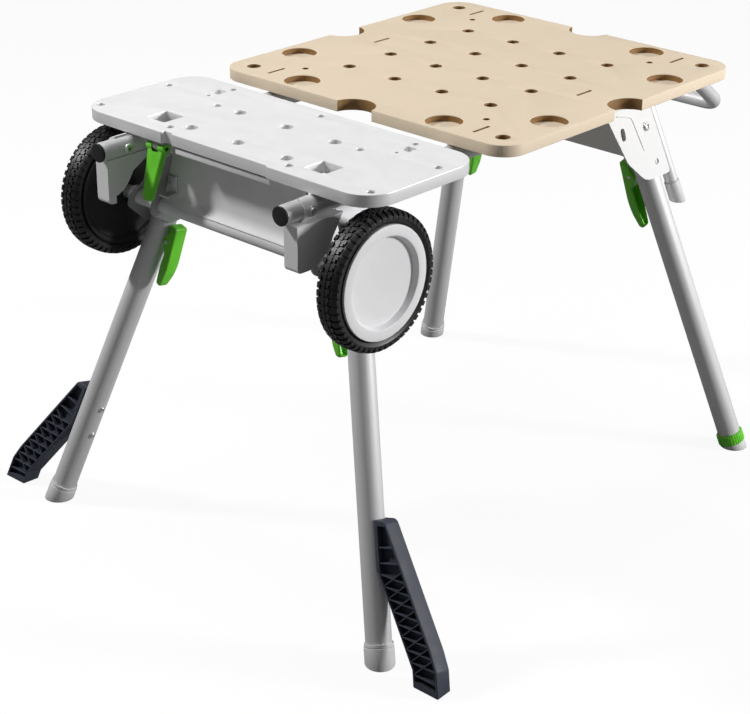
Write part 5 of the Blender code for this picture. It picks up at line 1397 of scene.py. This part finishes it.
def make_stabiliser(leg):
    """A ribbed strut that hugs the outer side of a front leg and reaches out to the floor."""
    sink = -STAB_FOOT_OUT / 2
    saddle = LEG_RADIUS - STAB_FRAME
    points = [(saddle, STAB_HEIGHT), (STAB_TOP_OUT, STAB_HEIGHT), (STAB_KNEE_OUT, STAB_KNEE),
              (STAB_FOOT_OUT, 0.0), (STAB_FOOT_OUT, sink), (STAB_FOOT_IN, sink),
              (STAB_FOOT_IN, 0.0), (LEG_RADIUS, STAB_LEAVE), (saddle, STAB_LEAVE + STAB_FRAME)]
    half_bend = STAB_BEND / 2
    radii = [0, STAB_TOP_ROUND, STAB_KNEE_ROUND, half_bend, 0, 0, half_bend, STAB_BEND, 0]
    blank = slab([rounded(points, radii, 8)], STAB_DEPTH, 0.0014)
    top = STAB_HEIGHT - STAB_TOP_FRAME
    inner_low = stab_sole(leg, STAB_FOOT_IN) + STAB_LOW_FRAME
    outer_low = stab_sole(leg, STAB_FOOT_OUT) + STAB_LOW_FRAME
    spread = [i / STAB_RECESS_STEPS for i in range(STAB_RECESS_STEPS + 1)]
    rising = [inner_low + (top - inner_low) * share for share in spread]
    falling = [top - (top - outer_low) * share for share in spread]
    inside = [(stab_inner(h) + STAB_FRAME, h) for h in rising]
    outside = [(stab_outer(h) - STAB_FRAME, h) for h in falling]
    recess = slab([inside + outside], STAB_DEPTH)
    recess.transform(move(z=STAB_RECESS))
    blank = carved(blank, recess)
    square = Matrix.Rotation(leg.square_turn, 4, "Z") @ move(z=-leg.length)
    ribs = stab_ribs()
    for mesh in (blank, ribs):
        if leg.side < 0:
            mesh.transform(Matrix.Diagonal((-1.0, 1.0, 1.0, 1.0)))
            mesh.flip_normals()
        mesh.transform(square @ FACING_FRONT)
    hug = stepped((-leg.length - LEG_RADIUS, 0.0), (LEG_RADIUS + GAP,), 0.0, 2 * ROUND_STEPS)
    shell = levelled(carved(blank, hug), leg.matrix, STAB_LIFT)
    name = leg.name.replace("_front", "")
    show(name + "_strut", merged(shell, ribs), BLACK, leg.body,
         [name + "_stabiliser"], leg.matrix)
    screw = turned(STAB_SCREW, SCREW_SOFT, SMALL_ROUND_STEPS)
    seat = -leg.side * LEG_RADIUS
    heads = [(screw, square @ move(seat, 0.0, h) @ along_x(-leg.side)) for h in STAB_SCREWS]
    show(name + "_strut_screws", joined(heads), BRIGHT, leg.body, matrix=leg.matrix)


def make_latch():
    """A tapered lever that hangs from a tongue under the table, and the catch behind it."""
    points = [(-LATCH_HALF_TOP, LATCH_RISE), (-LATCH_HALF_TIP, -LATCH_LENGTH),
              (LATCH_HALF_TIP, -LATCH_LENGTH), (LATCH_HALF_TOP, LATCH_RISE)]
    radii = [LATCH_TOP_ROUND, LATCH_TIP_ROUND, LATCH_TIP_ROUND, LATCH_TOP_ROUND]
    blade = slab([rounded(points, radii, 8)], LATCH_THICK, 0.0036, 4)
    blade.transform(FACING_FRONT)
    boss = stepped((-LATCH_HALF_TOP, LATCH_HALF_TOP), (LATCH_BOSS,), 0.0010, ROUND_STEPS)
    boss.transform(along_x(1))
    cut = block((-LATCH_SLOT_HALF, -LATCH_SLOT_REACH, -LATCH_SLOT_FLOOR),
                (LATCH_SLOT_HALF, LATCH_SLOT_REACH, LATCH_SLOT_REACH), 0.0008)
    forks = merged(carved(blade, cut), carved(boss, cut.copy()))
    hang = move(*JOINTS["front_latch_lift"]["pos_m"])
    show("latch_handle", forks, GREEN, "front_latch", ["latch_lever"],
         hang @ Matrix.Rotation(-LATCH_TILT, 4, "X"))
    show("latch_tongue", refined("latch_mount", 0.0006), GREY, nodes=["latch_mount"])
    show("latch_tab", refined("latch_catch", 0.0012, 3), BRIGHT,
         nodes=["latch_catch"])


make_board()
make_table()
make_rails()
make_handle()
make_gussets()
make_axle()
make_wheels()
make_beams()
for leg in LEGS:
    make_bracket(leg)
    make_leg(leg)
    make_lever(leg)
    make_plunger(leg)
    if leg.front:
        make_stabiliser(leg)
    else:
        make_stub(leg)
make_latch()

# Small solids that stay as they were packed
for node, coat in (("left_axle_retainer", BRIGHT), ("right_axle_retainer", BRIGHT),
                   ("adjuster_socket", PALE), ("latch_pin", BRIGHT)):
    frame["nodes"][node].data.materials.clear()
    frame["nodes"][node].data.materials.append(coat)


# Floor, light and camera

def make_floor():
    """A pale floor that shows white to the camera and still takes the object's shadow."""
    work = bmesh.new()
    bmesh.ops.create_circle(work, cap_ends=True, segments=64, radius=FLOOR_RADIUS)
    mesh = from_work(work)
    made, graph, inputs = new_material("pale_floor")
    seen = graph.seen()
    pale = graph.ramp(graph.noise(3), [(0.3, (0.90, 0.90, 0.90)), (0.7, (0.92, 0.92, 0.92))])
    bounce = graph.add("ShaderNodeMixRGB", {"Fac": seen, "Color1": FLOOR_BOUNCE, "Color2": pale})
    graph.feed(inputs["Base Color"], bounce.outputs["Color"])
    inputs["Roughness"].default_value = 0.9
    inputs["Specular IOR Level"].default_value = 0.0
    glow = graph.add("ShaderNodeEmission", {"Color": WHITE, "Strength": 1.0})
    mixed = graph.mix(graph.math("MULTIPLY", seen, FLOOR_GLOW),
                      graph.nodes["Principled BSDF"].outputs[0], glow.outputs[0])
    graph.feed(graph.nodes["Material Output"].inputs["Surface"], mixed)
    mesh.materials.append(made)
    floor = placed("floor", mesh)
    floor.location.z = FLOOR_Z


def make_world():
    """White to the camera; a dim soft studio for everything else."""
    world = bpy.data.worlds.new("studio")
    world.use_nodes = True
    bpy.context.scene.world = world
    graph = Graph(world.node_tree)
    soft = graph.nodes["Background"]
    soft.inputs["Color"].default_value = WHITE
    level = graph.span(graph.height("Generated"), *SKY_LEVELS, 0.0, 1.0)
    graph.feed(soft.inputs["Strength"], level)
    white = graph.add("ShaderNodeBackground", {"Color": WHITE, "Strength": 1.0})
    mixed = graph.mix(graph.seen(), soft.outputs[0], white.outputs[0])
    graph.feed(graph.nodes["World Output"].inputs["Surface"], mixed)


def make_lamp(name, direction, size, power):
    """A round area light that stands off in a direction and faces the object."""
    data = bpy.data.lights.new(name, "AREA")
    data.shape = "DISK"
    data.size = size
    data.energy = power
    lamp = placed(name, data)
    place = KEY_TARGET + KEY_DISTANCE * Vector(direction).normalized()
    lamp.location = place
    lamp.rotation_euler = (KEY_TARGET - place).to_track_quat("-Z", "Y").to_euler()


def make_camera():
    data = bpy.data.cameras.new("photo_view")
    data.sensor_width = SENSOR
    data.lens = FOCAL_PIXELS * SENSOR / IMAGE_WIDTH
    data.shift_x = (IMAGE_WIDTH / 2 - PRINCIPAL_X) / IMAGE_WIDTH
    level = math.cos(CAMERA_ELEVATION)
    ahead = Vector((-math.sin(CAMERA_AZIMUTH) * level, math.cos(CAMERA_AZIMUTH) * level,
                    -math.sin(CAMERA_ELEVATION)))
    right = ahead.cross(Z_AXIS).normalized()
    up = right.cross(ahead)
    across = right * math.cos(CAMERA_ROLL) + up * math.sin(CAMERA_ROLL)
    upright = up * math.cos(CAMERA_ROLL) - right * math.sin(CAMERA_ROLL)
    camera = placed("photo_view", data)
    camera.matrix_world = axes(across, upright, -ahead, CAMERA_PLACE)
    bpy.context.scene.camera = camera


make_floor()
make_world()
for light in KEY_LIGHTS:
    make_lamp(*light)
make_camera()
bpy.context.scene.view_settings.view_transform = "Standard"
